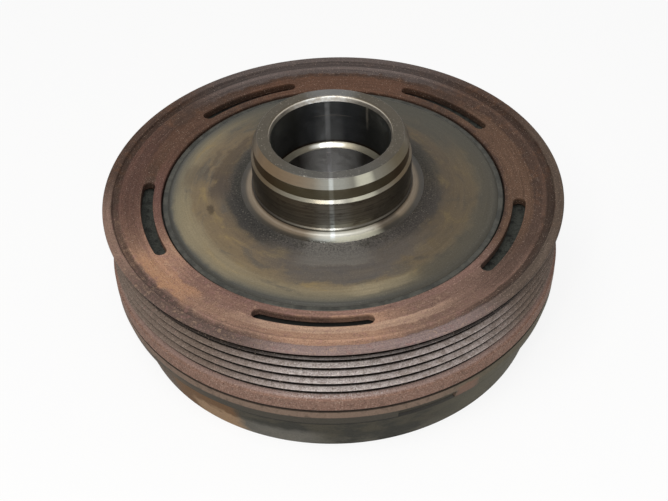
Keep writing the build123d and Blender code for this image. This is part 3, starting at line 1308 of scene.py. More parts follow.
@dataclass(frozen=True)
class BondedRubber:
    """Old rough rubber that holds the rings to the sleeve, with painted shade in the slots."""

    # Black of the rubber, also used as painted shade towards the front and back.
    rubber_black: Colour = srgb(24, 24, 23)
    side_grey: Colour = srgb(64, 66, 61)
    patch: Grain = Grain(0.35, 3.0, 0.6)
    patch_fade: Fade = (0.28, 0.55)
    grain: Grain = Grain(1.7, 3.0, 0.7)
    side_azimuth: float = 180.0
    side_fade: Fade = (0.35, 0.95)
    side_grey_share: float = 0.75
    least_grey_share: float = 0.1
    pits: Dusting = Dusting(rubber_black, (0.5, 0.34), 0.65)
    rough: float = 0.85
    skin: Skin = Skin(0.25, gloss=0.2)

    def material(self) -> bpy.types.Material:
        """Build the material."""
        graph = Graph(bpy.data.materials.new("rubber"))
        place = graph.place()
        patch, grain = self.patch.over(place), self.grain.over(place)
        # Grey at the sides; towards the front and back the rubber stays black as painted shade in the
        # slots.
        sides = place.facing(self.side_azimuth).size().rise(*self.side_fade)
        share = sides * self.side_grey_share + self.least_grey_share
        colour = graph.tint(share * patch.rise(*self.patch_fade), self.rubber_black, self.side_grey)
        colour = self.pits.lay(grain, colour)
        return graph.finish(colour, self.rough, 0.0, grain + patch, self.skin)


@dataclass(frozen=True)
class RingIron:
    """Dark stained casting with a brown upper band, one patch of rust low on its side, and painted
    shade under its lip and at its top.
    """

    cone: Colour = srgb(51, 50, 44)
    warm: Colour = srgb(69, 65, 54)
    band: Colour = srgb(121, 103, 90)
    lip: Colour = srgb(67, 63, 55)
    foot: Colour = srgb(92, 90, 82)
    # Dark of the lip's painted shadow and of the painted shade in the gap at the top.
    shade_dark: Colour = srgb(26, 24, 21)
    stains: tuple[Stain, ...] = (
        Stain(-156, 14, 38, (0, 19), srgb(98, 82, 66), 0.75, 1.5, 2.0, Across.HEIGHT),
        # One rust patch: orange above, under the lip's painted shadow, and lighter tan below, where it
        # is lit.
        Stain(-128, 9, 12.2, (0, 15.0), srgb(104, 76, 48), 0.95, 1.5, 2.0, Across.HEIGHT),
        Stain(-124, 5, 9.5, (0, 7.5), srgb(148, 122, 94), 0.9, 2.4, 3.0, Across.HEIGHT),
        Stain(-106, 3, 14, (0, 7), srgb(116, 113, 106), 0.6, 3.5, 1.5, Across.HEIGHT),
        Stain(-26, 22, 44, (2, 26), srgb(90, 86, 72), 0.85, 2.0, 0.6, Across.HEIGHT),
        Stain(-58, 1.5, 4, (17.2, 22), srgb(124, 96, 82), 0.8, 0.5, 1.0, Across.HEIGHT),
    )
    patch: ToolMarks = ToolMarks(0.14, 6.0, 4.0, 0.6)
    blotch: Grain = Grain(0.5, 4.0, 0.65)
    grain: Grain = Grain(1.5, 3.0, 0.65)
    fleck: Grain = Grain(3.0, 1.0, 0.5)
    wander: Grain = Grain(0.3, 3.0, 0.5)
    warm_fade: Fade = (0.4, 0.62)
    foot_heights: Fade = (8.5, 0.5)
    # The cone turns lighter towards its bottom, in patches: painted shading.
    lighter_foot: Dusting = Dusting(foot, (0.35, 0.6), 0.6)
    lip_border: float = 0.1
    band_border: float = 0.3
    band_grime: Dusting = Dusting(srgb(86, 75, 65), (0.5, 0.35), 0.6)
    under_lip: Span = (-1.8, -0.1)
    under_lip_soft: float = 0.9
    under_lip_shadow: float = 0.75
    top_fade: Fade = (-0.4, -0.15)
    top_gap_shade: float = 0.8
    front_heights: Fade = (0.3, 0.0)
    front_rust: Dusting = Dusting(srgb(112, 74, 42), (0.45, 0.6), 0.7)
    grain_depth: float = 0.5
    fleck_depth: float = 0.46
    rough: float = 0.68
    metal: float = 0.1
    fleck_relief: float = 0.6
    skin: Skin = Skin(0.08, gloss=0.12)

    def material(self, ring: "DamperRing") -> bpy.types.Material:
        """Build the material.

        Args:
            ring: The ring, which knows the height of its lip.

        Returns:
            The material.
        """
        graph = Graph(bpy.data.materials.new("ring_iron"))
        place = graph.place()
        height = place.height
        patch, blotch = self.patch.over(place), self.blotch.over(place)
        grain, fleck = self.grain.over(place), self.fleck.over(place)
        colour = graph.tint(patch.rise(*self.warm_fade), self.cone, self.warm)
        # Painted shading: lighter towards the bottom of the cone.
        colour = self.lighter_foot.lay(patch, colour, height.rise(*self.foot_heights))
        colour = graph.tint(place.above(ring.lip_low, self.lip_border), colour, self.lip)
        band = self.band_grime.lay(blotch, self.band)
        colour = graph.tint(place.above(ring.top - ring.band, self.band_border), colour, band)
        wander = self.wander.over(place)
        for stain in self.stains:
            colour = stain.lay(place, colour, wander)
        # Painted shadow of the lip on the cone.
        low, high = self.under_lip
        under = height.band(ring.lip_low + low, ring.lip_low + high, self.under_lip_soft)
        colour = graph.tint(under * self.under_lip_shadow, colour, self.shade_dark)
        # Painted shade in the gap at the ring's top.
        top = place.rising(ring.top, self.top_fade) * self.top_gap_shade
        colour = graph.tint(top, colour, self.shade_dark)
        colour = self.front_rust.lay(blotch, colour, height.rise(*self.front_heights))
        colour = graph.speckle(colour, (grain, self.grain_depth), (fleck, self.fleck_depth))
        relief = grain + fleck * self.fleck_relief
        return graph.finish(colour, self.rough, self.metal, relief, self.skin)


@dataclass(frozen=True)
class Corner:
    """One corner of a turned outline, in millimetres."""

    radius: float
    height: float
    rounding: float = 0.12


@dataclass(frozen=True)
class Lathe:
    """Turns closed outlines into fine meshes about the shaft axis."""

    segments: int = 288
    arc_step: float = 11.0
    support: float = 0.12
    support_room: float = 4.0
    arc_share: float = 0.45
    flat_angle: float = 88.0
    sharp_angle: float = 32.0

    def rounded(self, outline: list[Corner]) -> list[Point]:
        """Round the corners of a closed outline.

        Args:
            outline: Corners in order round the section.

        Returns:
            Points of the section, with close pairs at the ends of each straight run.
        """
        arcs = []
        for index, corner in enumerate(outline):
            before, after = outline[index - 1], outline[(index + 1) % len(outline)]
            arcs.append(self.corner_arc(before, corner, after))
        points: list[Point] = []
        for index, arc in enumerate(arcs):
            points.extend((point.x, point.y) for point in arc)
            start, end = arc[-1], arcs[(index + 1) % len(arcs)][0]
            length = (end - start).length
            if length > self.support_room * self.support:
                step = (end - start) / length * self.support
                points.extend([(start + step)[:], (end - step)[:]])
        return points

    def corner_arc(self, before: Corner, corner: Corner, after: Corner) -> list[Vector]:
        """Work out the points of one rounded corner.

        Args:
            before: Corner before it.
            corner: The corner itself.
            after: Corner after it.

        Returns:
            Points of its arc, or the corner alone if it is sharp.
        """
        here = Vector((corner.radius, corner.height))
        back = Vector((before.radius, before.height)) - here
        ahead = Vector((after.radius, after.height)) - here
        room = self.arc_share * min(back.length, ahead.length)
        back.normalize()
        ahead.normalize()
        half = math.acos(max(-1.0, min(1.0, back.dot(ahead)))) / 2
        if corner.rounding == 0 or half > math.radians(self.flat_angle):
            return [here]
        reach = min(corner.rounding / math.tan(half), room)
        rounding = reach * math.tan(half)
        centre = here + (back + ahead).normalized() * (rounding / math.sin(half))
        start, end = here + back * reach - centre, here + ahead * reach - centre
        turn = start.angle_signed(end)
        steps = max(2, round(abs(math.degrees(turn)) / self.arc_step))
        arc = []
        for step in range(steps + 1):
            part = Matrix.Rotation(-turn * step / steps, 2) @ start
            arc.append(centre + part)
        return arc

    def turn(self, name: str, outline: list[Corner]) -> bpy.types.Object:
        """Turn an outline about the shaft axis.

        Args:
            name: Name of the new object.
            outline: Corners of its closed section.

        Returns:
            The object, linked into the scene.
        """
        section = self.rounded(outline)
        count = len(section)
        vertices = []
        for segment in range(self.segments):
            angle = math.tau * segment / self.segments
            cosine, sine = math.cos(angle) * MM, math.sin(angle) * MM
            vertices.extend((radius * cosine, radius * sine, height * MM) for radius, height in section)
        faces = []
        for segment in range(self.segments):
            here, there = segment * count, (segment + 1) % self.segments * count
            for index in range(count):
                following = (index + 1) % count
                faces.append((here + index, here + following, there + following, there + index))
        return self.solid(name, vertices, faces)

    def solid(
        self, name: str, vertices: list[tuple[float, float, float]], faces: list[tuple[int, ...]]
    ) -> bpy.types.Object:
        """Make an object from vertices and faces.

        Args:
            name: Name of the new object.
            vertices: Vertices in metres.
            faces: Vertex numbers of each face.

        Returns:
            The object, linked into the scene, with its faces turned outwards.
        """
        mesh = bpy.data.meshes.new(name)
        mesh.from_pydata(vertices, [], faces)
        self.face_outwards(mesh)
        piece = bpy.data.objects.new(name, mesh)
        bpy.context.scene.collection.objects.link(piece)
        return piece

    def loft(self, name: str, rings: list[list[tuple[float, ...]]]) -> bpy.types.Object:
        """Make a closed shape through rings of points.

        Args:
            name: Name of the new object.
            rings: Rings with equally many points each, in metres.

        Returns:
            The object, linked into the scene.
        """
        count = len(rings[0])
        vertices = [point for ring in rings for point in ring]
        faces: list[tuple[int, ...]] = [tuple(reversed(range(count)))]
        for level in range(len(rings) - 1):
            here, there = level * count, (level + 1) * count
            for index in range(count):
                following = (index + 1) % count
                faces.append((here + index, here + following, there + following, there + index))
        top = (len(rings) - 1) * count
        faces.append(tuple(range(top, top + count)))
        return self.solid(name, vertices, faces)

    @staticmethod
    def face_outwards(mesh: bpy.types.Mesh) -> None:
        """Turn a closed mesh's faces outwards, going by the sign of its volume."""
        volume = 0.0
        for polygon in mesh.polygons:
            volume += Vector(polygon.center).dot(polygon.normal) * polygon.area
        if volume < 0:
            mesh.flip_normals()

    def cut(self, piece: bpy.types.Object, cutters: list[bpy.types.Object]) -> None:
        """Cut shapes out of a piece and remove the cutters.

        Args:
            piece: The piece to cut.
            cutters: Closed shapes to take out of it.
        """
        for cutter in cutters:
            modifier = piece.modifiers.new(cutter.name, "BOOLEAN")
            modifier.operation = "DIFFERENCE"
            modifier.solver = "EXACT"
            modifier.object = cutter
        dependencies = bpy.context.evaluated_depsgraph_get()
        done = bpy.data.meshes.new_from_object(piece.evaluated_get(dependencies))
        piece.modifiers.clear()
        old = piece.data
        piece.data = done
        bpy.data.meshes.remove(old)
        for cutter in cutters:
            bpy.data.meshes.remove(cutter.data)

    def smooth(self, piece: bpy.types.Object) -> None:
        """Shade a piece smoothly up to its sharp edges."""
        piece.data.shade_smooth()
        piece.data.set_sharp_from_angle(angle=math.radians(self.sharp_angle))


def dress(
    piece: bpy.types.Object, node: str, slot: str, *materials: bpy.types.Material
) -> None:
    """Give a finished piece its materials and its place in the frame.

    Args:
        piece: The piece.
        node: Frame node that it stands for.
        slot: Material slot of the record; not used.
        materials: Its materials, the first of which covers it at first.
    """
    piece.data.materials.clear()
    for material in materials:
        piece.data.materials.append(material)
    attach(piece, ROOT_BODY)
    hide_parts(node)
    log.info("%s: %d faces", piece.name, len(piece.data.polygons))


@dataclass
class DamperRing:
    """Cast inertia ring: a straight band, a tapered lip with a notch, and a cone."""

    node: str = "damper_ring"
    top: float = field(default_factory=lambda: heights("damper_ring")[1])
    top_radius: float = field(default_factory=lambda: outer_radius("damper_ring"))
    bore_radius: float = 62.4
    bore_chamfer: float = 1.2
    lip_radius: float = 76.4
    lip_height: float = 6.8
    band: float = 2.8
    lip_step: float = 1.1
    foot_radius: float = 70.8
    foot_rounding: float = 1.0
    edge_rounding: float = 0.4
    step_rounding: float = 0.25
    band_rounding: float = 0.3
    notch_azimuth: float = -68.8
    notch_width: float = 15.0
    notch_height: float = 3.6
    notch_steps: int = 24

    @property
    def lip_low(self) -> float:
        """Height of the lip's lower edge."""
        return self.top - self.lip_height

    def outline(self) -> list[Corner]:
        """Give the corners of the ring's section."""
        return [
            Corner(self.bore_radius + self.bore_chamfer, 0),
            Corner(self.foot_radius, 0, self.foot_rounding),
            Corner(self.lip_radius - self.lip_step, self.lip_low, self.step_rounding),
            Corner(self.lip_radius, self.lip_low, self.edge_rounding),
            Corner(self.top_radius, self.top - self.band, self.band_rounding),
            Corner(self.top_radius, self.top, self.edge_rounding),
            Corner(self.bore_radius, self.top),
            Corner(self.bore_radius, self.bore_chamfer),
        ]

    def notch(self, lathe: Lathe) -> bpy.types.Object:
        """Make the shape of the notch in the lip.

        Args:
            lathe: Maker of the mesh.

        Returns:
            The closed cutter.
        """
        inner, outer = self.lip_radius - self.lip_step, self.top_radius + self.lip_step
        low, high = self.lip_low - self.lip_step, self.lip_low + self.notch_height
        section = [(inner, low), (outer, low), (outer, high), (inner, high)]
        rings = []
        for step in range(self.notch_steps + 1):
            turn = self.notch_azimuth + self.notch_width * (step / self.notch_steps - 0.5)
            cosine, sine = math.cos(math.radians(turn)) * MM, math.sin(math.radians(turn)) * MM
            rings.append([(radius * cosine, radius * sine, level * MM) for radius, level in section])
        return lathe.loft("notch_cutter", rings)

    def build(self, lathe: Lathe) -> None:
        """Build and dress the ring.

        Args:
            lathe: Maker of the mesh.
        """
        ring = lathe.turn("inertia_ring", self.outline())
        lathe.cut(ring, [self.notch(lathe)])
        lathe.smooth(ring)
        dress(ring, self.node, "ring_iron", RingIron().material(self))


@dataclass
class PulleyRim:
    """Steel rim with a poly-V belt track and a dished, slotted rear flange."""

    node: str = "pulley_rim"
    foot: float = field(default_factory=lambda: heights("pulley_rim")[0])
    crest: float = field(default_factory=lambda: heights("pulley_rim")[1])
    flange_radius: float = field(default_factory=lambda: outer_radius("pulley_rim"))
    groove_count: int = 6
    groove_pitch: float = 3.56
    groove_angle: float = 40.0
    groove_depth: float = 3.2
    tip_land: float = 0.36
    tip_radius: float = 76.7
    tip_rounding: float = 0.14
    root_rounding: float = 0.3
    guide_radius: float = 77.5
    guide_height: float = 5.05
    guide_rounding: float = 0.4
    bore_radius: float = 66.4
    bore_rounding: float = 1.0
    edge_rounding: float = 0.9
    face_drop: float = 1.7
    thickness: float = 2.6
    flange_bore: float = 58.6
    flange_bore_rounding: float = 0.5
    crest_width: float = 3.0
    valley_width: float = 1.6
    valley_depth: float = 1.0
    ridge_rise: float = 0.5
    ridge_width: float = 0.9
    slope_width: float = 4.7
    corner_rounding: float = 0.5
    slot_count: int = 5
    slot_radius: float = 63.45
    slot_width: float = 4.2
    slot_arc: float = 31.0
    slot_azimuth: float = -97.0
    slot_chamfer: float = 0.12
    slot_steps: int = 48
    slot_end_steps: int = 14
    cutter_reach: float = 1.0

    @property
    def face(self) -> float:
        """Height of the flange's flat face."""
        return self.crest - self.face_drop

    @property
    def track_low(self) -> float:
        """Height where the guide band ends and the grooves begin."""
        return self.foot + self.guide_height

    @property
    def track_high(self) -> float:
        """Height where the uppermost groove ends, under the flange."""
        return self.track_low + self.groove_count * self.groove_pitch - self.tip_land

    def track(self) -> list[Corner]:
        """Give the corners of the guide band's upper edge, the grooves and the last rib."""
        flank = math.tan(math.radians(self.groove_angle / 2))
        guide_edge = self.track_low - (self.guide_radius - self.tip_radius) * flank
        corners = [Corner(self.guide_radius, guide_edge, self.tip_rounding)]
        root = self.tip_radius - self.groove_depth
        for groove in range(self.groove_count):
            lower = self.track_low + groove * self.groove_pitch
            upper = lower + self.groove_pitch - self.tip_land
            if groove > 0:
                corners.append(Corner(self.tip_radius, lower, self.tip_rounding))
            corners.append(Corner(root, lower + self.groove_depth * flank, self.root_rounding))
            corners.append(Corner(root, upper - self.groove_depth * flank, self.root_rounding))
            corners.append(Corner(self.tip_radius, upper, self.tip_rounding))
        corners.append(Corner(self.flange_radius, corners[-1].height, self.tip_rounding))
        return corners

    def outline(self) -> list[Corner]:
        """Give the corners of the rim's section."""
        crest_inner = self.flange_radius - self.crest_width
        valley_outer = crest_inner - self.valley_depth / 2
        valley_inner = valley_outer - self.valley_width
        valley = self.crest - self.valley_depth
        ridge = valley_inner - self.ridge_width
        ridge_foot = ridge - self.ridge_width
        under = self.face - self.thickness
        soft = self.corner_rounding
        return [
            Corner(self.bore_radius, self.foot),
            Corner(self.guide_radius, self.foot, self.guide_rounding),
            *self.track(),
            Corner(self.flange_radius, self.crest, self.edge_rounding),
            Corner(crest_inner, self.crest, soft / 2),
            Corner(valley_outer, valley, soft),
            Corner(valley_inner, valley, soft),
            Corner(ridge, valley + self.ridge_rise, soft / 2),
            Corner(ridge_foot, valley, soft),
            Corner(ridge_foot - self.slope_width, self.face, soft),
            Corner(self.flange_bore, self.face, self.flange_bore_rounding),
            Corner(self.flange_bore, under),
            Corner(self.bore_radius, under, self.bore_rounding),
        ]

    def slot_ring(self, azimuth: float, half: float, height: float) -> list[tuple[float, ...]]:
        """Give the points round one arc slot at one height.

        Args:
            azimuth: Middle of the slot in degrees.
            half: Half of the slot's width there.
            height: Height of the ring of points.

        Returns:
            The points in metres.
        """
        first = math.radians(azimuth - self.slot_arc / 2)
        sweep = math.radians(self.slot_arc)
        ring = []
        for step in range(self.slot_steps):
            turn = first + sweep * step / self.slot_steps
            ring.append((turn, self.slot_radius + half, 0.0, 0.0))
        for step in range(self.slot_end_steps):
            angle = math.pi * step / self.slot_end_steps
            ring.append((first + sweep, self.slot_radius, half, angle))
        for step in range(self.slot_steps):
            turn = first + sweep * (1 - step / self.slot_steps)
            ring.append((turn, self.slot_radius - half, 0.0, 0.0))
        for step in range(self.slot_end_steps):
            angle = math.pi * (1 + step / self.slot_end_steps)
            ring.append((first, self.slot_radius, half, angle))
        points = []
        for turn, radius, reach, angle in ring:
            x = radius * math.cos(turn) + reach * math.cos(turn + angle)
            y = radius * math.sin(turn) + reach * math.sin(turn + angle)
            points.append((x * MM, y * MM, height * MM))
        return points

    def slot_cutter(self, lathe: Lathe, azimuth: float) -> bpy.types.Object:
        """Make the shape of one arc slot, wider at its upper edge.

        Args:
            lathe: Maker of the mesh.
            azimuth: Middle of the slot in degrees.

        Returns:
            The closed cutter.
        """
        half = self.slot_width / 2
        levels = [
            (half, self.face - self.thickness - self.cutter_reach),
            (half, self.face - self.slot_chamfer),
            (half + 2 * self.slot_chamfer, self.face + self.slot_chamfer),
        ]
        rings = [self.slot_ring(azimuth, width, height) for width, height in levels]
        return lathe.loft("slot_cutter", rings)

    def build(self, lathe: Lathe) -> None:
        """Build and dress the rim.

        Args:
            lathe: Maker of the mesh.
        """
        rim = lathe.turn("belt_rim", self.outline())
        cutters = []
        for slot in range(self.slot_count):
            azimuth = self.slot_azimuth + slot * 360 / self.slot_count
            cutters.append(self.slot_cutter(lathe, azimuth))
        lathe.cut(rim, cutters)
        lathe.smooth(rim)
        rust = RimRust().material(self.foot, self.track_low, self.track_high)
        dress(rim, self.node, "rusty_rim", rust)


@dataclass
class Sleeve:
    """Pressed steel sleeve round the hub's drum."""

    node: str = "hub_sleeve"
    span: Span = field(default_factory=lambda: heights("hub_sleeve"))
    outer: float = field(default_factory=lambda: outer_radius("hub_sleeve"))
    wall: float = 1.8
    chamfer: float = 0.4

    def build(self, lathe: Lathe) -> None:
        """Build and dress the sleeve.

        Args:
            lathe: Maker of the mesh.
        """
        low, high = self.span
        outline = [
            Corner(self.outer - self.wall, low),
            Corner(self.outer, low),
            Corner(self.outer, high, self.chamfer),
            Corner(self.outer - self.wall, high),
        ]
        sleeve = lathe.turn("bonding_sleeve", outline)
        lathe.smooth(sleeve)
        dress(sleeve, self.node, "sleeve_steel", SleeveSteel().material())


@dataclass
class RubberRings:
    """The two rubber rings, bonded between the sleeve and the outer rings."""

    inner: float = field(default_factory=lambda: outer_radius("hub_sleeve"))
    hollow: float = 0.9
    arc_steps: int = 12

    def end(self, outer: float, height: float, way: int) -> list[Corner]:
        """Give the hollow end of a ring as an arc of points.

        Args:
            outer: Outer radius of the ring.
            height: Height of the end at its bonded walls.
            way: 1 for points from the outer wall inwards, -1 for points outwards.

        Returns:
            The points of the end.
        """
        middle, half = (self.inner + outer) / 2, (outer - self.inner) / 2
        points = []
        for step in range(self.arc_steps + 1):
            share = way * (1 - 2 * step / self.arc_steps)
            sag = self.hollow * (1 - share * share) * way
            points.append(Corner(middle + half * share, height - sag, 0))
        return points

    def ring(self, lathe: Lathe, name: str, node: str, material: bpy.types.Material) -> None:
        """Build and dress one ring.

        Args:
            lathe: Maker of the mesh.
            name: Name of the piece.
            node: Frame node that it stands for.
            material: The rubber.
        """
        low, high = heights(node)
        outer = outer_radius(node)
        ring = lathe.turn(name, [*self.end(outer, high, 1), *self.end(outer, low, -1)])
        lathe.smooth(ring)
        dress(ring, node, "rubber", material)

    def build(self, lathe: Lathe) -> None:
        """Build and dress both rings.

        Args:
            lathe: Maker of the meshes.
        """
        rubber = BondedRubber().material()
        self.ring(lathe, "rim_cushion", "rim_rubber", rubber)
        self.ring(lathe, "damper_cushion", "damper_rubber", rubber)


@dataclass
class Hub:
    """Turned hub: nose with seal journal and stepped bore, dished web, drum and front boss."""

    node: str = "hub"
    nose_top: float = field(default_factory=lambda: heights("hub")[1])
    drum_foot: float = field(default_factory=lambda: heights("hub")[0])
    drum_radius: float = field(default_factory=lambda: outer_radius("hub"))
    sleeve_top: float = field(default_factory=lambda: heights("hub_sleeve")[1])
    drum_wall: float = 5.4
    drum_rounding: float = 0.6
    edge_drop: float = 0.6
    edge_width: float = 0.9
    web_rise: float = 3.3
    web_thickness: float = 8.5
    web_rounding: float = 4.0
    knee_share: float = 0.45
    knee_rise: float = 1.5
    bore_radius: float = 20.0
    mouth_width: float = 0.5
    mouth_depth: float = 2.0
    mouth_rounding: float = 1.0
    bore_length: float = 17.2
    ledge_width: float = 1.8
    ledge_depth: float = 1.4
    lower_bore_length: float = 30.0
    bore_rounding: float = 1.0
    nose_wall: float = 6.0
    shoulder_width: float = 0.85
    shoulder_height: float = 1.0
    collar_width: float = 0.45
    root_width: float = 3.85
    root_rounding: float = 1.6
    root_step: float = 0.4
    collar_height: float = 2.0
    journal_height: float = 10.25
    nose_band_height: float = 4.1
    lead_in_width: float = 1.7
    bolt_hole_radius: float = 8.75
    bolt_wall: float = 10.0
    seat_radius: float = 20.0
    seat_rounding: float = 1.0
    boss_wall: float = 7.0
    boss_draft: float = 2.0
    boss_foot: float = 6.0
    edge_rounding: float = 0.3
    face_rounding: float = 0.25
    worn_rounding: float = 0.15
    crisp_rounding: float = 0.1
    floor_margin: float = 0.1

    @property
    def edge_height(self) -> float:
        """Height of the web's outer edge."""
        return self.sleeve_top + self.edge_drop

    @property
    def under(self) -> float:
        """Height of the web's front side."""
        return self.edge_height - self.web_thickness

    @property
    def root_height(self) -> float:
        """Height of the machined land round the nose."""
        return self.edge_height + self.web_rise

    @property
    def collar_top(self) -> float:
        """Height of the collar's upper edge."""
        return self.root_height + self.collar_height

    @property
    def journal_foot(self) -> float:
        """Height of the seal journal's lower end."""
        return self.collar_top + self.collar_width

    @property
    def journal_top(self) -> float:
        """Height of the seal journal's upper end."""
        return self.journal_foot + self.journal_height

    @property
    def band_foot(self) -> float:
        """Height where the shoulder ends and the nose band begins."""
        return self.journal_top + self.shoulder_height

    @property
    def lead_in_foot(self) -> float:
        """Height where the lead-in bevel begins."""
        return self.band_foot + self.nose_band_height

    @property
    def ledge(self) -> float:
        """Height of the ledge's upper edge in the bore."""
        return self.nose_top - self.mouth_depth - self.bore_length

    @property
    def ledge_foot(self) -> float:
        """Height of the ledge's lower edge."""
        return self.ledge - self.ledge_depth

    @property
    def bolt_wall_top(self) -> float:
        """Height of the lower bore's floor."""
        return self.ledge_foot - self.lower_bore_length

    @property
    def journal_radius(self) -> float:
        """Radius of the seal journal."""
        return self.bore_radius + self.nose_wall + self.shoulder_width

    @property
    def root_radius(self) -> float:
        """Outer radius of the land round the nose."""
        return self.journal_radius + self.collar_width + self.root_width

    def outline(self) -> list[Corner]:
        """Give the corners of the hub's section."""
        edge = self.drum_radius - self.edge_width
        root, root_top = self.root_radius, self.root_height
        knee = root + (edge - root) * self.knee_share
        boss = self.seat_radius + self.boss_wall
        seat = self.bolt_wall_top - self.bolt_wall
        drum_bore = self.drum_radius - self.drum_wall
        nose = self.bore_radius + self.nose_wall
        collar = self.journal_radius + self.collar_width
        lower_bore = self.bore_radius - self.ledge_width
        return [
            Corner(self.bolt_hole_radius, seat),
            Corner(self.seat_radius, seat, self.seat_rounding),
            Corner(self.seat_radius, self.boss_foot),
            Corner(boss, self.boss_foot, self.seat_rounding),
            Corner(boss + self.boss_draft, self.under, self.web_rounding),
            Corner(drum_bore, self.under, self.web_rounding),
            Corner(drum_bore, self.drum_foot, self.drum_rounding),
            Corner(self.drum_radius, self.drum_foot, self.drum_rounding),
            Corner(self.drum_radius, self.sleeve_top),
            Corner(edge, self.edge_height, self.edge_rounding),
            Corner(knee, self.edge_height + self.knee_rise, self.web_rounding),
            Corner(root + self.root_step, root_top - self.root_step, self.crisp_rounding),
            Corner(root, root_top, self.crisp_rounding),
            Corner(collar, root_top, self.root_rounding),
            Corner(collar, self.collar_top, self.crisp_rounding),
            Corner(self.journal_radius, self.journal_foot, self.crisp_rounding),
            Corner(self.journal_radius, self.journal_top, self.worn_rounding),
            Corner(nose, self.band_foot, self.worn_rounding),
            Corner(nose, self.lead_in_foot, self.worn_rounding),
            Corner(nose - self.lead_in_width, self.nose_top, self.face_rounding),
            Corner(self.bore_radius + self.mouth_width, self.nose_top, self.mouth_rounding),
            Corner(self.bore_radius, self.nose_top - self.mouth_depth, self.worn_rounding),
            Corner(self.bore_radius, self.ledge, self.worn_rounding),
            Corner(lower_bore, self.ledge_foot, self.worn_rounding),
            Corner(lower_bore, self.bolt_wall_top, self.bore_rounding),
            Corner(self.bolt_hole_radius, self.bolt_wall_top),
        ]

    def is_nose(self, centre: Vector) -> bool:
        """Tell whether a face belongs to the nose or the bore, by its centre in metres."""
        radius, height = math.hypot(centre.x, centre.y) / MM, centre.z / MM
        if radius < self.bore_radius:
            return height > self.bolt_wall_top - self.floor_margin
        return radius < self.root_radius and height > self.under

    def build(self, lathe: Lathe) -> None:
        """Build and dress the hub.

        Args:
            lathe: Maker of the mesh.
        """
        hub = lathe.turn("hub_forging", self.outline())
        lathe.smooth(hub)
        web, nose = WebSteel().material(self.under), NoseSteel().material(self)
        dress(hub, self.node, "hub_steel", web, nose)
        for face in hub.data.polygons:
            face.material_index = int(self.is_nose(face.center))


@dataclass(frozen=True)
class Lamp:
    """One square studio lamp that looks at the part."""

    name: str
    place: tuple[float, float, float]
    side: float
    level: float
    colour: tuple[float, float, float] = (1.0, 1.0, 1.0)

    def build(self, target: Vector) -> None:
        """Hang the lamp so that a colour facing it renders at its level.

        Args:
            target: Point that the lamp looks at.
        """
        data = bpy.data.lights.new(self.name, "AREA")
        data.size = self.side
        data.color = self.colour
        way = target - Vector(self.place)
        data.energy = self.level * math.pi ** 2 * way.length_squared
        lamp = bpy.data.objects.new(self.name, data)
        lamp.location = self.place
        lamp.rotation_euler = way.to_track_quat("-Z", "Y").to_euler()
        bpy.context.scene.collection.objects.link(lamp)


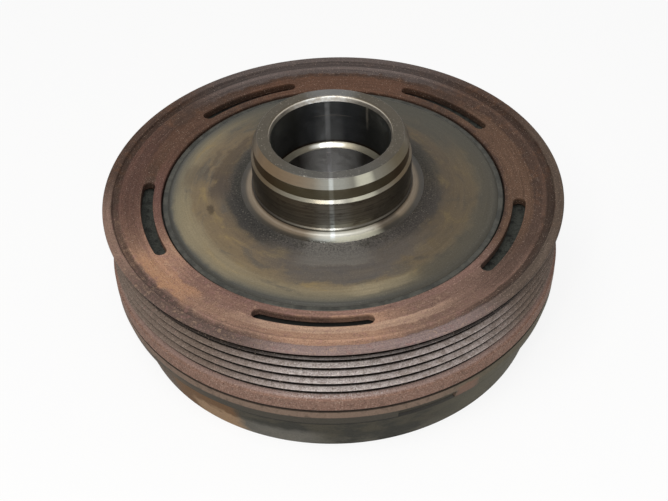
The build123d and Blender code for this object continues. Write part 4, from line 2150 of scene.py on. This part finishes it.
@dataclass
class Studio:
    """White table, even room light and the lamps over the part."""

    table_size: float = 6.0
    table_colour: Colour = (0.93, 0.93, 0.93, 1.0)
    table_glow: float = 0.85
    room_level: float = 0.32
    lamps: tuple[Lamp, ...] = (
        Lamp("top_softbox", (-0.22, -0.45, 1.12), 0.7, 0.47),
        Lamp("camera_flash", (0.005, -0.40, 0.46), 0.05, 0.24),
        Lamp("warm_side_lamp", (-0.17, -0.50, 0.52), 0.06, 0.10, (1.0, 0.88, 0.72)),
    )

    def seen_directly(self, graph: Graph) -> Signal:
        """Find the rays that show the background: camera, mirror and see-through ones.

        Args:
            graph: Node tree that the nodes go into.

        Returns:
            A signal that is 1 for those rays.
        """
        path = graph.add("ShaderNodeLightPath", {}, {})
        result = Signal(graph, path.outputs["Is Camera Ray"])
        for name in ("Is Glossy Ray", "Is Transmission Ray"):
            result = result.most(Signal(graph, path.outputs[name]))
        return result

    def build_world(self) -> None:
        """Light the room evenly, and show it white."""
        world = bpy.data.worlds.new("white_room")
        bpy.context.scene.world = world
        graph = Graph(world)
        light = {"Color": WHITE, "Strength": self.room_level}
        lit = graph.add("ShaderNodeBackground", {}, light)
        seen = graph.add("ShaderNodeBackground", {}, {"Color": WHITE, "Strength": 1.0})
        surface = graph.mix_shaders(self.seen_directly(graph), lit, seen)
        graph.add("ShaderNodeOutputWorld", {}, {"Surface": surface})

    def build_table(self) -> None:
        """Lay the white table under the part, which keeps the part's shadow."""
        half = self.table_size / 2
        mesh = bpy.data.meshes.new("table")
        corners = [(-half, -half, 0), (half, -half, 0), (half, half, 0), (-half, half, 0)]
        mesh.from_pydata(corners, [], [(0, 1, 2, 3)])
        table = bpy.data.objects.new("table", mesh)
        bpy.context.scene.collection.objects.link(table)
        material = bpy.data.materials.new("white_table")
        graph = Graph(material)
        matt = graph.add("ShaderNodeBsdfDiffuse", {}, {"Color": self.table_colour})
        glow = graph.add("ShaderNodeEmission", {}, {})
        surface = graph.mix_shaders(self.seen_directly(graph) * self.table_glow, matt, glow)
        graph.add("ShaderNodeOutputMaterial", {}, {"Surface": surface})
        mesh.materials.append(material)

    def build(self) -> None:
        """Build the table, the room and the lamps."""
        self.build_table()
        self.build_world()
        target = Vector((0, 0, cad_high[2] / 2))
        for lamp in self.lamps:
            lamp.build(target)
        bpy.context.scene.view_settings.view_transform = "Standard"
        log.info("studio: %d lamps", len(self.lamps))


@dataclass(frozen=True)
class PhotoCamera:
    """Camera at the photograph's place, turned as it was held."""

    elevation: float = 39.422
    distance: float = 0.42791
    aim_height: float = 0.0509
    pan: float = -0.0348
    tilt: float = 2.9236
    roll: float = 2.0515
    focal_pixels: float = 1251.05
    image_width: int = 668
    sensor_width: float = 36.0

    def rotation(self) -> Matrix:
        """Work out the camera's rotation from its held angles."""
        lift = math.radians(self.elevation)
        level = Matrix((
            (1, 0, 0),
            (0, math.sin(lift), math.cos(lift)),
            (0, -math.cos(lift), math.sin(lift)),
        ))
        pan = Matrix.Rotation(math.radians(self.pan), 3, "Y")
        tilt = Matrix.Rotation(math.radians(self.tilt), 3, "X")
        roll = Matrix.Rotation(math.radians(self.roll), 3, "Z")
        return (roll @ tilt @ pan @ level).transposed()

    def build(self) -> None:
        """Make the scene's camera."""
        data = bpy.data.cameras.new("photo_camera")
        data.sensor_width = self.sensor_width
        data.lens = self.focal_pixels / self.image_width * self.sensor_width
        data.clip_start = 0.01
        camera = bpy.data.objects.new("photo_camera", data)
        lift = math.radians(self.elevation)
        back = Vector((0, -math.cos(lift), math.sin(lift))) * self.distance
        place = Vector((0, 0, self.aim_height)) + back
        camera.matrix_world = Matrix.Translation(place) @ self.rotation().to_4x4()
        bpy.context.scene.collection.objects.link(camera)
        bpy.context.scene.camera = camera


def main() -> None:
    """Build the camera, the part and the studio."""
    logging.basicConfig(level=logging.INFO, format="%(name)s: %(message)s")
    PhotoCamera().build()
    lathe = Lathe()
    for assembly in (DamperRing(), PulleyRim(), Sleeve(), RubberRings(), Hub()):
        assembly.build(lathe)
    Studio().build()


if __name__ == "__main__":
    main()
